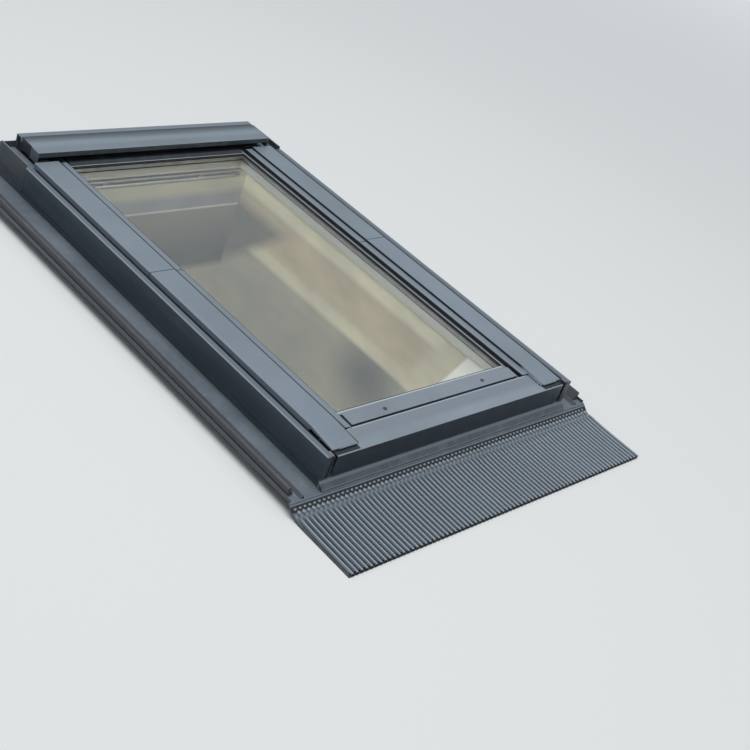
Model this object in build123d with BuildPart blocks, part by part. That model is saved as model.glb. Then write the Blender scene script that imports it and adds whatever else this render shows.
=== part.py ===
from build123d import *
import os

# Centre-pivot roof window with its covers and flashing, in millimetres.
# It lies flat: +X to the right, +Y up the roof slope, +Z out of the roof.
# The origin is the centre of the frame, on its underside.

# Frame
frame_width = 780.0
frame_length = 1180.0
frame_depth = 88.0
side_timber = 41.0
head_timber = 41.0
sill_timber = 53.0
front_gap = 4.0
head_gap = 5.0
groove_depth = 8.0
groove_bottom = 8.0
groove_height = 10.0

half_width = frame_width / 2
front = -frame_length / 2
back = frame_length / 2
timber_front = front + front_gap
timber_back = back - head_gap
opening_half = half_width - side_timber
opening_front = timber_front + sill_timber
opening_back = timber_back - head_timber

# Sash
sash_side_gap = 8.0
sash_front_gap = 9.0
sash_back_gap = 6.0
sash_underside = 35.0
sash_depth = 49.0
stile_width = 64.0
bottom_rail_width = 38.0
top_rail_width = 32.0
sash_bevel = 4.0

sash_half = opening_half - sash_side_gap
sash_front = opening_front + sash_front_gap
sash_back = opening_back - sash_back_gap
sash_top = sash_underside + sash_depth
light_half = sash_half - stile_width
light_front = sash_front + bottom_rail_width
light_back = sash_back - top_rail_width

# Glass unit
pane = 4.0
cavity = 16.0
bedding = 1.0
glass_bearing = 13.0
glass_clearance = 2.0
rebate_floor = sash_underside + 25.0
spacer_inset = 3.0
spacer_width = 9.0

glass_half = light_half + glass_bearing
glass_front = light_front - glass_bearing
glass_back = light_back + glass_bearing
inner_pane_floor = rebate_floor + bedding
cavity_floor = inner_pane_floor + pane
outer_pane_floor = cavity_floor + cavity
glass_top = outer_pane_floor + pane

# Gasket and sash trim
trim_sheet = 1.5
gasket_height = 3.5
gasket_width = 12.0
lip_overhang = 9.0
gasket_show = 3.0
trim_fold = 23.0
trim_flange_gap = 2.0
trim_front_overhang = 4.0
trim_joint = 0.3
front_trim_height = 11.0
front_trim_rise = 1.5
front_trim_depth = 32.0
front_trim_slope = 6.0
head_trim_height = 11.0
head_trim_slope = 4.0

lip_half = light_half - lip_overhang
lip_front = light_front + lip_overhang
lip_back = light_back - lip_overhang
trim_top = glass_top + gasket_height + trim_sheet
trim_step = light_half + trim_fold

# Plugs in the bottom trim
plug_spread = 158.0
plug_radius = 4.5
plug_height = 1.6
plug_round = 0.8

# Side covers
cover_top = 103.0
cover_overhang = 25.0
cover_broad = 65.0
cover_strip = 23.0
cover_step = 5.0
cover_skirt = 12.0
cover_sheet = 1.5
cover_lift = 0.3
cover_head_gap = 83.0
tail_start = 87.0
strip_end = 61.0
tail_end = 16.0
tail_drop = 4.3
tail_flare = 3.3
tail_foot = 96.3
bead_radius = 2.0
bead_inset = 14.0

cover_outer = sash_half + cover_overhang
cover_ridge = cover_outer - cover_broad
cover_inner = cover_ridge - cover_strip

# Pivot, on the line where the upper and lower side covers meet
pivot_from_front = 630.0
pivot_joint = 0.8
pivot_y = front + pivot_from_front
pivot_z = cover_top

# Curved hinge
rail_radius = 45.0
rail_width = 6.0
rail_thickness = 5.0
rail_start = 4.0
rail_end = 168.0
shoe_start = 140.0
shoe_end = 166.0
shoe_wall = 5.7
shoe_play = 0.3
shoe_side_play = 0.6

# Frame cladding
ledge_top = 98.0
cladding_sheet = 1.5
cladding_stand = 5.0
ledge_width = 16.0
cladding_bottom = 44.0
cladding_joint = 1072.0
cladding_end = 1086.0
cladding_gap = 0.4
corner_return = 20.0
corner_depth = 17.0

cladding_outer = half_width + cladding_stand
ledge_inner = cladding_outer - ledge_width

# Bottom cover
front_cover_sheet = 1.5
front_cover_edge = 94.0
front_cover_crease = 34.0
front_cover_crease_top = 95.0
front_cover_back_top = 99.0
front_cover_depth = sill_timber + front_gap
front_cover_blend = 12.0
front_cover_blend_start = cover_ridge - 13.0
front_cover_end_top = 95.2
front_cover_end_crease = 94.7
front_cover_corner = 7.0

# Hood
hood_sheet = 1.5
hood_half = 355.0
hood_cap = 2.0
hood_cap_thin = 0.8
hood_cap_depth = 31.0
hood_front = 1101.0
hood_back = 1172.0
hood_face_bottom = 112.0
hood_front_top = 124.0
hood_back_top = 126.0
hood_lip = 8.0
hood_cap_bottom = 97.0
screen_thickness = 3.0
screen_inset = 2.0
screen_top = 121.0

# Flashing
flashing_sheet = 1.2
upstand_top = 84.0
gutter_floor = 24.0
gutter_reach = 474.0
rib_from = 438.0
rib_width = 10.0
rib_height = 8.0
edge_height = 7.0
gutter_front_gap = 1.0
sill_upstand_top = 66.0
sill_fold = 43.0
sill_reach = 15.0
sill_nose = 28.5
strip_top = 25.4
strip_reach = 29.0
strip_bottom = 13.0
side_flashing_end = 1195.0

# Pleated apron
pleat_pitch = 12.6
pleat_count = 76
pleat_flat = 3.0
pleat_height = 6.0
apron_sheet = 1.2
apron_step = 0.5
# Rows of the apron: distance in front of the window, height of the sheet's middle, share of the pleat height
apron_rows = (
    (strip_reach + trim_joint, strip_bottom - apron_step, 0.15),
    (43.0, 9.2, 1.0),
    (95.0, 6.0, 1.0),
    (198.0, 5.0, 1.0),
)

# Head flashing
bead_front = 1180.0
bead_back = 1196.0
bead_top = 124.0
head_upstand_foot = 40.0
head_upstand_top = 112.0
head_floor = 30.0
head_reach = 1300.0
head_edge = 14.0
bead_half = 357.0
corner_plate_start = 1086.4
corner_plate_end = 1201.0
corner_plate_foot = 34.0
corner_plate_top = 105.0
corner_flange = 4.5

# Foam strips under the tiles
foam_width = 18.0
foam_height = 20.0
foam_inset = 1.5
foam_crown = 6.0
foam_end_inset = 12.0
head_foam_from = 1252.0
head_foam_half = gutter_reach - foam_end_inset

# Fixing brackets and their screws
bracket_sheet = 2.5
bracket_length = 60.0
bracket_corner = 10.0
bracket_foot = 62.0
bracket_leg = 20.0
bracket_y = 450.0
bracket_hole_reach = 40.0
bracket_hole_radius = 3.5
screw_z = 12.0
screw_spread = 18.0
screw_shank_radius = 2.5
screw_head_radius = 5.0
screw_head_height = 3.0
screw_head_round = 1.5
screw_depth = 19.0
screw_length = 20.5
screw_play = 0.05

# Weather seal
seal_height = 8.0
seal_depth = 3.0
seal_floor = 70.0
seal_front_floor = 60.0
seal_pivot_gap = 62.0
seal_corner_gap = 1.0

# Cover clips
clip_sheet = 1.2
clip_length = 22.0
clip_width = 12.0
frame_clip_x = 350.0
sash_clip_x = 310.0
frame_clip_places = (720.0, 900.0, 1075.0)
sash_clip_places = (110.0, 330.0, 545.0)

# Ventilation flap and control bar
flap_half = 250.0
flap_thickness = 6.0
flap_depth = 24.0
flap_pivot_inset = 6.0
flap_pivot_drop = 7.0
flap_pin_radius = 2.5
flap_pin_play = 0.05
flap_pin_length = 12.0
flap_block_gap = 1.0
flap_block_width = 14.0
flap_block_half = 5.5
bar_half = 285.0
bar_width = 20.0
bar_height = 10.0
bar_post_spread = 150.0
bar_post_width = 14.0
bar_post_height = 5.0
bar_inset = 4.0

# Latch
latch_half = 45.0
latch_floor = 45.0
latch_height = 24.0
latch_thickness = 3.0
striker_half = 36.0
striker_thickness = 2.4

# Barrel bolt
bolt_radius = 3.5
bolt_play = 0.06
bolt_from_front = 140.0
bolt_drop = 7.0
bolt_case_length = 30.0
bolt_case_width = 16.0
bolt_case_height = 13.0
bolt_case_round = 4.0
bolt_length = 42.0
bolt_knob_radius = 6.0
bolt_knob_length = 5.0
bolt_nose_gap = 1.0
bolt_nose_chamfer = 0.9
bolt_knob_chamfer = 1.0
bush_radius = 6.0
bush_depth = 12.0

# The side of a chain of points that a sheet's thickness lies on
LEFT = 1
RIGHT = -1

# How closely an edge's place is matched
match = 0.01

os.makedirs("parts", exist_ok=True)


def at_y(y):
    """Plane for a section of a piece that runs along Y; it is extruded towards -Y."""
    return Plane.XZ.offset(-y)


def at_x(x):
    """Plane for a section of a piece that runs along X; it is extruded towards +X."""
    return Plane.YZ.offset(x)


def up_slope(distance):
    """Y of a place that is measured from the window's front edge."""
    return front + distance


def folded(points, sheet, side):
    """Outline of a folded sheet: its outer face as a chain of points, thickened to one side."""
    corners = [Vector(*point) for point in points]
    runs = [(end - start).normalized() for start, end in zip(corners, corners[1:])]
    normals = [Vector(-run.Y, run.X) * side for run in runs]
    inner = []
    for corner, before, after in zip(corners, normals[:1] + normals, normals + normals[-1:]):
        mitre = before + after
        inner.append(corner + mitre * (2 * sheet / mitre.dot(mitre)))
    with BuildLine() as outline:
        Polyline(*corners, *reversed(inner), close=True)
    return outline.edges()


def block(x, y, z, mode=Mode.ADD):
    """A block between two limits along each axis."""
    with Locations((x[0], y[0], z[0])):
        Box(x[1] - x[0], y[1] - y[0], z[1] - z[0], align=(Align.MIN, Align.MIN, Align.MIN), mode=mode)


def keep(piece, node):
    """Label a finished piece and write it."""
    piece.label = node
    export_step(piece, f"parts/{node}.step")


def keep_pair(piece, node):
    """Write a right-hand piece and its mirror image on the left."""
    with BuildPart() as other:
        mirror(piece, about=Plane.YZ)
    keep(piece, f"{node}_right")
    keep(other.part, f"{node}_left")


# Frame timbers: the sides run through, the head and the sill stand between them.
groove_top = groove_bottom + groove_height
bolt_y = up_slope(bolt_from_front)
bolt_z = sash_underside - bolt_drop


def grooved_section(inner, outer):
    """Section of a frame timber with the groove for the room lining on its inner face."""
    step = groove_depth if outer > inner else -groove_depth
    with BuildLine() as outline:
        Polyline(
            (inner, 0),
            (outer, 0),
            (outer, frame_depth),
            (inner, frame_depth),
            (inner, groove_top),
            (inner + step, groove_top),
            (inner + step, groove_bottom),
            (inner, groove_bottom),
            close=True,
        )
    return outline.edges()


with BuildPart() as frame_side:
    with BuildSketch(at_y(timber_back)):
        make_face(grooved_section(opening_half, half_width))
    extrude(amount=timber_back - timber_front)
    for bracket_place in (-bracket_y, bracket_y):
        for along in (-screw_spread, screw_spread):
            with Locations(Plane((half_width, bracket_place + along, screw_z), z_dir=(1, 0, 0))):
                Hole(screw_shank_radius + screw_play, screw_depth)

with BuildPart() as frame_side_left:
    mirror(frame_side.part, about=Plane.YZ)
keep(frame_side_left.part, "frame_side_left")

with BuildPart() as frame_side_right:
    add(frame_side.part)
    with Locations(Plane((opening_half, bolt_y, bolt_z), z_dir=(-1, 0, 0))):
        Hole(bush_radius, bush_depth)
keep(frame_side_right.part, "frame_side_right")

for node, inner, outer in (
    ("frame_head", opening_back, timber_back),
    ("frame_sill", opening_front, timber_front),
):
    with BuildPart() as cross_timber:
        with BuildSketch(at_x(-opening_half)):
            make_face(grooved_section(inner, outer))
        extrude(amount=2 * opening_half)
    keep(cross_timber.part, node)

# Sash timbers with the rebate that the glass unit lies in.
pocket_x = light_half + glass_bearing + glass_clearance
pocket_front = glass_front - glass_clearance
pocket_back = glass_back + glass_clearance


def bevelled_section(inner, outer):
    """Section of a sash timber, bevelled at the room side of its inner face."""
    step = sash_bevel if outer > inner else -sash_bevel
    with BuildLine() as outline:
        Polyline(
            (inner + step, sash_underside),
            (outer, sash_underside),
            (outer, sash_top),
            (inner, sash_top),
            (inner, sash_underside + sash_bevel),
            close=True,
        )
    return outline.edges()


def glass_pocket():
    """Cut the rebate of the glass unit from a sash timber."""
    block(
        (-pocket_x, pocket_x),
        (pocket_front, pocket_back),
        (rebate_floor, sash_top),
        mode=Mode.SUBTRACT,
    )


with BuildPart() as sash_stile:
    with BuildSketch(at_y(sash_back)):
        make_face(bevelled_section(light_half, sash_half))
    extrude(amount=sash_back - sash_front)
    glass_pocket()
keep_pair(sash_stile.part, "sash_stile")

for node, inner, outer in (
    ("sash_top_rail", light_back, sash_back),
    ("sash_bottom_rail", light_front, sash_front),
):
    with BuildPart() as sash_rail:
        with BuildSketch(at_x(-light_half)):
            make_face(bevelled_section(inner, outer))
        extrude(amount=2 * light_half)
        glass_pocket()
    keep(sash_rail.part, node)


def centred(inset):
    """Place and size of a rectangle that follows the glass edge at an inset."""
    length = glass_back - glass_front - 2 * inset
    return (0, (glass_front + glass_back) / 2), 2 * (glass_half - inset), length


def glass_ring(outer_inset, inner_inset, floor, height):
    """A rectangular ring that follows the edge of the glass."""
    with BuildPart() as ring:
        with BuildSketch(Plane.XY.offset(floor)):
            for inset, mode in ((outer_inset, Mode.ADD), (inner_inset, Mode.SUBTRACT)):
                place, width, length = centred(inset)
                with Locations(place):
                    Rectangle(width, length, mode=mode)
        extrude(amount=height)
    return ring.part


for node, floor in (("inner_pane", inner_pane_floor), ("outer_pane", outer_pane_floor)):
    with BuildPart() as glass:
        place, width, length = centred(0)
        with BuildSketch(Plane.XY.offset(floor)):
            with Locations(place):
                Rectangle(width, length)
        extrude(amount=pane)
    keep(glass.part, node)

keep(glass_ring(spacer_inset, spacer_inset + spacer_width, cavity_floor, cavity), "glass_spacer")
keep(glass_ring(0, glass_bearing, rebate_floor, bedding), "bedding_tape")
gasket_inner = glass_bearing + lip_overhang + gasket_show
keep(
    glass_ring(gasket_inner - gasket_width, gasket_inner, glass_top, gasket_height),
    "glazing_gasket",
)

# Sash trim: a folded strip on each side, its lip over the gasket.
with BuildPart() as side_trim:
    with BuildSketch(at_y(sash_back)):
        make_face(
            folded(
                (
                    (lip_half, trim_top),
                    (trim_step, trim_top),
                    (trim_step, sash_top + trim_sheet),
                    (sash_half - trim_flange_gap, sash_top + trim_sheet),
                ),
                trim_sheet,
                RIGHT,
            )
        )
    extrude(amount=sash_back - sash_front + trim_front_overhang)
keep_pair(side_trim.part, "side_trim")

front_trim_top = sash_top + front_trim_height
cross_trim_half = lip_half - trim_joint
with BuildPart() as bottom_trim:
    with BuildSketch(at_x(-cross_trim_half)):
        ridge = sash_front + front_trim_depth
        make_face(
            folded(
                (
                    (lip_front, trim_top),
                    (ridge + front_trim_slope, trim_top),
                    (ridge, front_trim_top + front_trim_rise),
                    (sash_front, front_trim_top),
                    (sash_front, sash_top),
                ),
                trim_sheet,
                LEFT,
            )
        )
    extrude(amount=2 * cross_trim_half)
    for end in (-cross_trim_half, cross_trim_half - trim_sheet):
        with BuildSketch(at_x(end)):
            with BuildLine():
                Polyline(
                    (ridge, trim_top - trim_sheet),
                    (ridge, front_trim_top + front_trim_rise),
                    (sash_front, front_trim_top),
                    (sash_front, trim_top - trim_sheet),
                    close=True,
                )
            make_face()
        extrude(amount=trim_sheet)
keep(bottom_trim.part, "bottom_trim")

with BuildPart() as top_trim:
    with BuildSketch(at_x(-cross_trim_half)):
        make_face(
            folded(
                (
                    (lip_back, trim_top),
                    (light_back, trim_top),
                    (light_back + head_trim_slope, sash_top + head_trim_height),
                    (sash_back - trim_sheet, sash_top + head_trim_height),
                    (sash_back - trim_sheet, sash_top),
                ),
                trim_sheet,
                RIGHT,
            )
        )
    extrude(amount=2 * cross_trim_half)
keep(top_trim.part, "top_trim")

plug_y = sash_front + front_trim_depth / 2
plug_z = front_trim_top + front_trim_rise / 2
with BuildPart() as trim_plugs:
    for plug_x in (-plug_spread, plug_spread):
        slope = Plane((plug_x, plug_y, plug_z), x_dir=(1, 0, 0), z_dir=(0, -front_trim_rise, front_trim_depth))
        with BuildSketch(slope):
            Circle(plug_radius)
        extrude(amount=plug_height)
    fillet(trim_plugs.edges().filter_by(GeomType.CIRCLE).group_by(Axis.Z)[-1], plug_round)
keep(trim_plugs.part, "trim_plugs")

# Side covers: a stepped hat section, split at the pivot.
cover_section = (
    (cover_outer, cover_top - cover_skirt),
    (cover_outer, cover_top),
    (cover_ridge, cover_top),
    (cover_ridge, cover_top - cover_step),
    (cover_inner, cover_top - cover_step),
    (cover_inner, trim_top + cover_lift),
)
upper_cover_end = up_slope(frame_length - cover_head_gap)
with BuildPart() as side_cover_upper:
    with BuildSketch(at_y(upper_cover_end)):
        make_face(folded(cover_section, cover_sheet, LEFT))
    extrude(amount=upper_cover_end - pivot_y - pivot_joint / 2)
keep_pair(side_cover_upper.part, "side_cover_upper")


def tail_section(outer, ridge, top):
    """Section of the cover's sloping tail: a shallow channel, open below."""
    points = ((outer, tail_foot), (outer, top), (ridge, top), (ridge, tail_foot))
    return folded(points, cover_sheet, LEFT)


tail_top = cover_top - tail_drop
bead_z = tail_foot + bead_radius - cover_sheet / 2
with BuildPart() as side_cover_lower:
    with BuildSketch(at_y(pivot_y - pivot_joint / 2)):
        make_face(folded(cover_section, cover_sheet, LEFT))
    extrude(amount=pivot_from_front - pivot_joint / 2 - tail_start)
    with BuildSketch(at_y(up_slope(tail_start))):
        make_face(folded(cover_section[3:], cover_sheet, LEFT))
    extrude(amount=tail_start - strip_end)
    with BuildSketch(at_y(up_slope(tail_start))):
        make_face(tail_section(cover_outer, cover_ridge, cover_top))
    with BuildSketch(at_y(up_slope(tail_end))):
        make_face(tail_section(cover_outer + tail_flare, cover_ridge - tail_flare, tail_top))
    loft(ruled=True)
    with BuildSketch(at_x(cover_ridge)):
        with Locations((up_slope(tail_end), bead_z)):
            Circle(bead_radius)
    extrude(amount=cover_broad - bead_inset)
keep_pair(side_cover_lower.part, "side_cover_lower")

# Curved hinge: half a ring on each stile, held in a shoe on the frame.


def hinge_arc(inner_radius, outer_radius, start, end):
    """Outline of a ring sector under the pivot; angles run from +Y through -Z."""
    centre = (pivot_y, pivot_z)
    span = end - start
    with BuildLine() as outline:
        outer = CenterArc(centre, outer_radius, -end, span)
        inner = CenterArc(centre, inner_radius, -end, span)
        Line(inner @ 0, outer @ 0)
        Line(inner @ 1, outer @ 1)
    return outline.edges()


rail_inner = rail_radius - rail_width / 2
rail_outer = rail_radius + rail_width / 2
with BuildPart() as hinge_rail:
    with BuildSketch(at_x(sash_half)):
        make_face(hinge_arc(rail_inner, rail_outer, rail_start, rail_end))
    extrude(amount=rail_thickness)
keep_pair(hinge_rail.part, "hinge_rail")

shoe_mouth = sash_half + shoe_side_play
shoe_floor = sash_half + rail_thickness + shoe_side_play / 2
with BuildPart() as hinge_shoe:
    with BuildSketch(at_x(shoe_floor)):
        shoe_inner = rail_inner - shoe_play - shoe_wall
        shoe_outer = rail_outer + shoe_play + shoe_wall
        make_face(hinge_arc(shoe_inner, shoe_outer, shoe_start, shoe_end))
    extrude(amount=opening_half - shoe_floor)
    for low, high in (
        (shoe_inner, rail_inner - shoe_play),
        (rail_outer + shoe_play, shoe_outer),
    ):
        with BuildSketch(at_x(shoe_mouth)):
            make_face(hinge_arc(low, high, shoe_start, shoe_end))
        extrude(amount=shoe_floor - shoe_mouth)
keep_pair(hinge_shoe.part, "hinge_shoe")

# Side cladding of the frame: a wall, a ledge and a leg that stands on the timber.
cladding_section = (
    (cladding_outer, cladding_bottom),
    (cladding_outer, ledge_top),
    (ledge_inner, ledge_top),
    (ledge_inner, frame_depth),
)
with BuildPart() as side_cladding:
    with BuildSketch(at_y(up_slope(cladding_joint))):
        make_face(folded(cladding_section, cladding_sheet, LEFT))
    extrude(amount=cladding_joint)
    block(
        (cladding_outer - corner_return, cladding_outer),
        (front, front + cladding_sheet),
        (cladding_bottom, ledge_top),
    )
    block(
        (cladding_outer - corner_return, ledge_inner),
        (front, front + corner_depth),
        (ledge_top - cladding_sheet, ledge_top),
    )
keep_pair(side_cladding.part, "side_cladding")

with BuildPart() as side_cladding_head:
    with BuildSketch(at_y(up_slope(cladding_end))):
        make_face(folded(cladding_section, cladding_sheet, LEFT))
    extrude(amount=cladding_end - cladding_joint - cladding_gap)
keep_pair(side_cladding_head.part, "side_cladding_head")

# Bottom cover: raised behind its crease between the side covers, flat below them.
front_cover_back = up_slope(front_cover_depth)


def front_cover_section(back_top, crease_top):
    """Section of the bottom cover, from its back leg over the crease to the front face."""
    points = (
        (front_cover_back, frame_depth),
        (front_cover_back, back_top),
        (up_slope(front_cover_crease), crease_top),
        (front, front_cover_edge),
        (front, cladding_bottom),
    )
    return folded(points, front_cover_sheet, LEFT)


blend_end = front_cover_blend_start + front_cover_blend
with BuildPart() as bottom_cover:
    with BuildSketch(at_x(-front_cover_blend_start)):
        make_face(front_cover_section(front_cover_back_top, front_cover_crease_top))
    extrude(amount=2 * front_cover_blend_start)
    for side in (-1, 1):
        with BuildSketch(at_x(side * front_cover_blend_start)):
            make_face(front_cover_section(front_cover_back_top, front_cover_crease_top))
        with BuildSketch(at_x(side * blend_end)):
            make_face(front_cover_section(front_cover_end_top, front_cover_end_crease))
        loft(ruled=True)
        with BuildSketch(at_x(side * blend_end)):
            make_face(front_cover_section(front_cover_end_top, front_cover_end_crease))
        extrude(amount=side * (cover_outer - blend_end))
    corner_edges = bottom_cover.edges().filter_by(Axis.Y).filter_by(
        lambda edge: abs(abs(edge.center().X) - cover_outer) < match and edge.center().Y < timber_front
    )
    chamfer(corner_edges.group_by(Axis.Z)[-1], front_cover_corner)
keep(bottom_cover.part, "bottom_cover")

# Hood over the head of the sash, its end caps and the insect screen behind it.
with BuildPart() as hood:
    with BuildSketch(at_x(-hood_half)):
        make_face(
            folded(
                (
                    (up_slope(hood_front + hood_lip), hood_face_bottom),
                    (up_slope(hood_front), hood_face_bottom),
                    (up_slope(hood_front), hood_front_top),
                    (up_slope(hood_back), hood_back_top),
                    (up_slope(hood_back), frame_depth),
                ),
                hood_sheet,
                RIGHT,
            )
        )
    extrude(amount=2 * hood_half)
keep(hood.part, "hood")

with BuildPart() as hood_end:
    with BuildSketch(at_x(hood_half)):
        with BuildLine():
            Polyline(
                (up_slope(hood_front), hood_cap_bottom),
                (up_slope(hood_front), hood_front_top),
                (up_slope(hood_back), hood_back_top),
                (up_slope(hood_back), hood_cap_bottom),
                close=True,
            )
        make_face()
    extrude(amount=hood_cap)
    block(
        (hood_half + hood_cap_thin, hood_half + hood_cap),
        (up_slope(hood_front + hood_cap_depth), up_slope(hood_back)),
        (hood_cap_bottom, hood_back_top),
        mode=Mode.SUBTRACT,
    )
keep_pair(hood_end.part, "hood_end")

with BuildPart() as insect_screen:
    block(
        (-hood_half + hood_sheet, hood_half - hood_sheet),
        (opening_back + screen_inset, opening_back + screen_inset + screen_thickness),
        (frame_depth, screen_top),
    )
keep(insect_screen.part, "insect_screen")

# Side flashing: an upstand on the timber, a gutter floor with a rib and a turned-up edge.
gutter_chain = (
    (half_width + flashing_sheet, gutter_floor),
    (rib_from, gutter_floor),
    (rib_from + rib_width / 2, gutter_floor + rib_height),
    (rib_from + rib_width, gutter_floor),
    (gutter_reach, gutter_floor),
    (gutter_reach, gutter_floor + edge_height),
)
upstand_start = timber_front + trim_joint
gutter_start = front - sill_reach + flashing_sheet + gutter_front_gap
with BuildPart() as side_flashing:
    with BuildSketch(at_y(up_slope(side_flashing_end))):
        chain = ((half_width + flashing_sheet, upstand_top),) + gutter_chain
        make_face(folded(chain, flashing_sheet, RIGHT))
    extrude(amount=up_slope(side_flashing_end) - upstand_start)
    with BuildSketch(at_y(upstand_start)):
        make_face(folded(gutter_chain, flashing_sheet, RIGHT))
    extrude(amount=upstand_start - gutter_start)
keep_pair(side_flashing.part, "side_flashing")

# Sill of the flashing: an upstand, a sloping nose with closed ends, and the strip above the apron.
sill_back = timber_front - flashing_sheet
sill_front = front - sill_reach
apron_half = pleat_pitch * pleat_count / 2
upstand_half = half_width - 2 * flashing_sheet
with BuildPart() as flashing_sill:
    with BuildSketch(at_x(-upstand_half)):
        make_face(
            folded(
                ((sill_back, sill_upstand_top), (sill_back, sill_fold), (sill_front, sill_nose)),
                flashing_sheet,
                LEFT,
            )
        )
    extrude(amount=2 * upstand_half)
    with BuildSketch(at_x(-cladding_outer)):
        make_face(
            folded(
                (
                    (sill_back, sill_fold),
                    (sill_front, sill_nose),
                    (sill_front, gutter_floor),
                ),
                flashing_sheet,
                LEFT,
            )
        )
    extrude(amount=2 * cladding_outer)
    for end in (-cladding_outer, cladding_outer - flashing_sheet):
        with BuildSketch(at_x(end)):
            with BuildLine():
                Polyline(
                    (sill_back, gutter_floor),
                    (sill_back, sill_fold),
                    (sill_front, sill_nose),
                    (sill_front, gutter_floor),
                    close=True,
                )
            make_face()
        extrude(amount=flashing_sheet)
    with BuildSketch(at_x(-apron_half)):
        make_face(
            folded(
                ((sill_front + flashing_sheet, strip_top), (front - strip_reach, strip_bottom)),
                flashing_sheet,
                LEFT,
            )
        )
    extrude(amount=2 * apron_half)
keep(flashing_sill.part, "flashing_sill")


def pleats(middle, height_share):
    """Outline of the pleated sheet: flat crests and valleys joined by steep sides."""
    rise = pleat_height * height_share
    valley = middle - rise / 2
    ramp = pleat_pitch / 2 - pleat_flat
    face = []
    for index in range(pleat_count):
        start = -apron_half + index * pleat_pitch
        face += [
            (start, valley),
            (start + pleat_flat, valley),
            (start + pleat_flat + ramp, valley + rise),
            (start + 2 * pleat_flat + ramp, valley + rise),
        ]
    face += [(apron_half, valley)]
    under = [(x, z - apron_sheet) for x, z in reversed(face)]
    with BuildLine() as outline:
        Polyline(*face, *under, close=True)
    return outline.edges()


with BuildPart() as pleated_apron:
    for near_row, far_row in zip(apron_rows, apron_rows[1:]):
        for reach, middle, height_share in (near_row, far_row):
            with BuildSketch(at_y(up_slope(-reach))):
                make_face(pleats(middle, height_share))
        loft(ruled=True)
keep(pleated_apron.part, "pleated_apron")

# Head flashing: an upstand on the frame, a rounded ridge behind the hood and a floor up the slope.
with BuildPart() as head_flashing:
    with BuildSketch(at_x(-bead_half)):
        make_face(
            folded(
                (
                    (timber_back + flashing_sheet, head_upstand_foot),
                    (timber_back + flashing_sheet, head_upstand_top),
                    (up_slope(bead_front), bead_top),
                    (up_slope(bead_back), bead_top),
                    (up_slope(bead_back), head_floor),
                    (up_slope(bead_back) + flashing_sheet, head_floor),
                ),
                flashing_sheet,
                RIGHT,
            )
        )
    extrude(amount=2 * bead_half)
    with BuildSketch(at_x(-apron_half)):
        make_face(
            folded(
                (
                    (up_slope(bead_back), head_floor),
                    (up_slope(head_reach), head_floor),
                    (up_slope(head_reach), head_floor + head_edge),
                ),
                flashing_sheet,
                RIGHT,
            )
        )
    extrude(amount=2 * apron_half)
keep(head_flashing.part, "head_flashing")

# Corner plates beside the hood: a plate, its flange, a floor on the timber and a closed back.
plate_inner = half_width + flashing_sheet
plate_outer = plate_inner + flashing_sheet
with BuildPart() as head_corner:
    with BuildSketch(at_y(up_slope(corner_plate_end))):
        make_face(
            folded(
                (
                    (plate_outer, corner_plate_foot),
                    (plate_outer, corner_plate_top),
                    (plate_outer - corner_flange, corner_plate_top),
                ),
                flashing_sheet,
                LEFT,
            )
        )
    extrude(amount=corner_plate_end - corner_plate_start)
    block(
        (bead_half, plate_inner),
        (up_slope(corner_plate_start), up_slope(bead_back)),
        (frame_depth, frame_depth + flashing_sheet),
    )
    block(
        (bead_half, plate_inner),
        (up_slope(bead_back), up_slope(bead_back) + flashing_sheet),
        (head_floor, corner_plate_top),
    )
keep_pair(head_corner.part, "head_corner")

# Foam strips: wedges that close the gap under the tiles.
with BuildPart() as foam_strips:
    with BuildSketch(at_y(timber_back)):
        foam_outer = gutter_reach - flashing_sheet - foam_inset
        with BuildLine():
            Polyline(
                (foam_outer - foam_width, gutter_floor),
                (foam_outer, gutter_floor),
                (foam_outer, gutter_floor + foam_height),
                (foam_outer - foam_crown, gutter_floor + foam_height),
                close=True,
            )
        make_face()
    extrude(amount=timber_back - timber_front)
    mirror(about=Plane.YZ)
    with BuildSketch(at_x(-head_foam_half)):
        foam_start = up_slope(head_foam_from)
        with BuildLine():
            Polyline(
                (foam_start, head_floor),
                (foam_start + 2 * foam_width, head_floor),
                (foam_start + 2 * foam_width, head_floor + foam_height),
                (foam_start + foam_width, head_floor + foam_height),
                close=True,
            )
        make_face()
    extrude(amount=2 * head_foam_half)
keep(foam_strips.part, "foam_strips")

# Fixing brackets: angles that screw to the frame and stand on the battens.
for end, bracket_place in (("front", -bracket_y), ("back", bracket_y)):
    with BuildPart() as bracket:
        with BuildSketch(at_y(bracket_place + bracket_length / 2)):
            make_face(
                folded(
                    (
                        (half_width, bracket_leg),
                        (half_width, 0),
                        (half_width + bracket_foot, 0),
                    ),
                    bracket_sheet,
                    LEFT,
                )
            )
        extrude(amount=bracket_length)
        corner = bracket.edges().filter_by(Axis.Z).group_by(Axis.X)[-1]
        fillet(corner, bracket_corner)
        with Locations((half_width + bracket_hole_reach, bracket_place, bracket_sheet)):
            Hole(bracket_hole_radius, bracket_sheet)
        for along in (-screw_spread, screw_spread):
            screw_seat = (half_width + bracket_sheet, bracket_place + along, screw_z)
            with Locations(Plane(screw_seat, z_dir=(1, 0, 0))):
                Hole(screw_shank_radius + screw_play, bracket_sheet)
    keep_pair(bracket.part, f"fixing_bracket_{end}")

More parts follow.
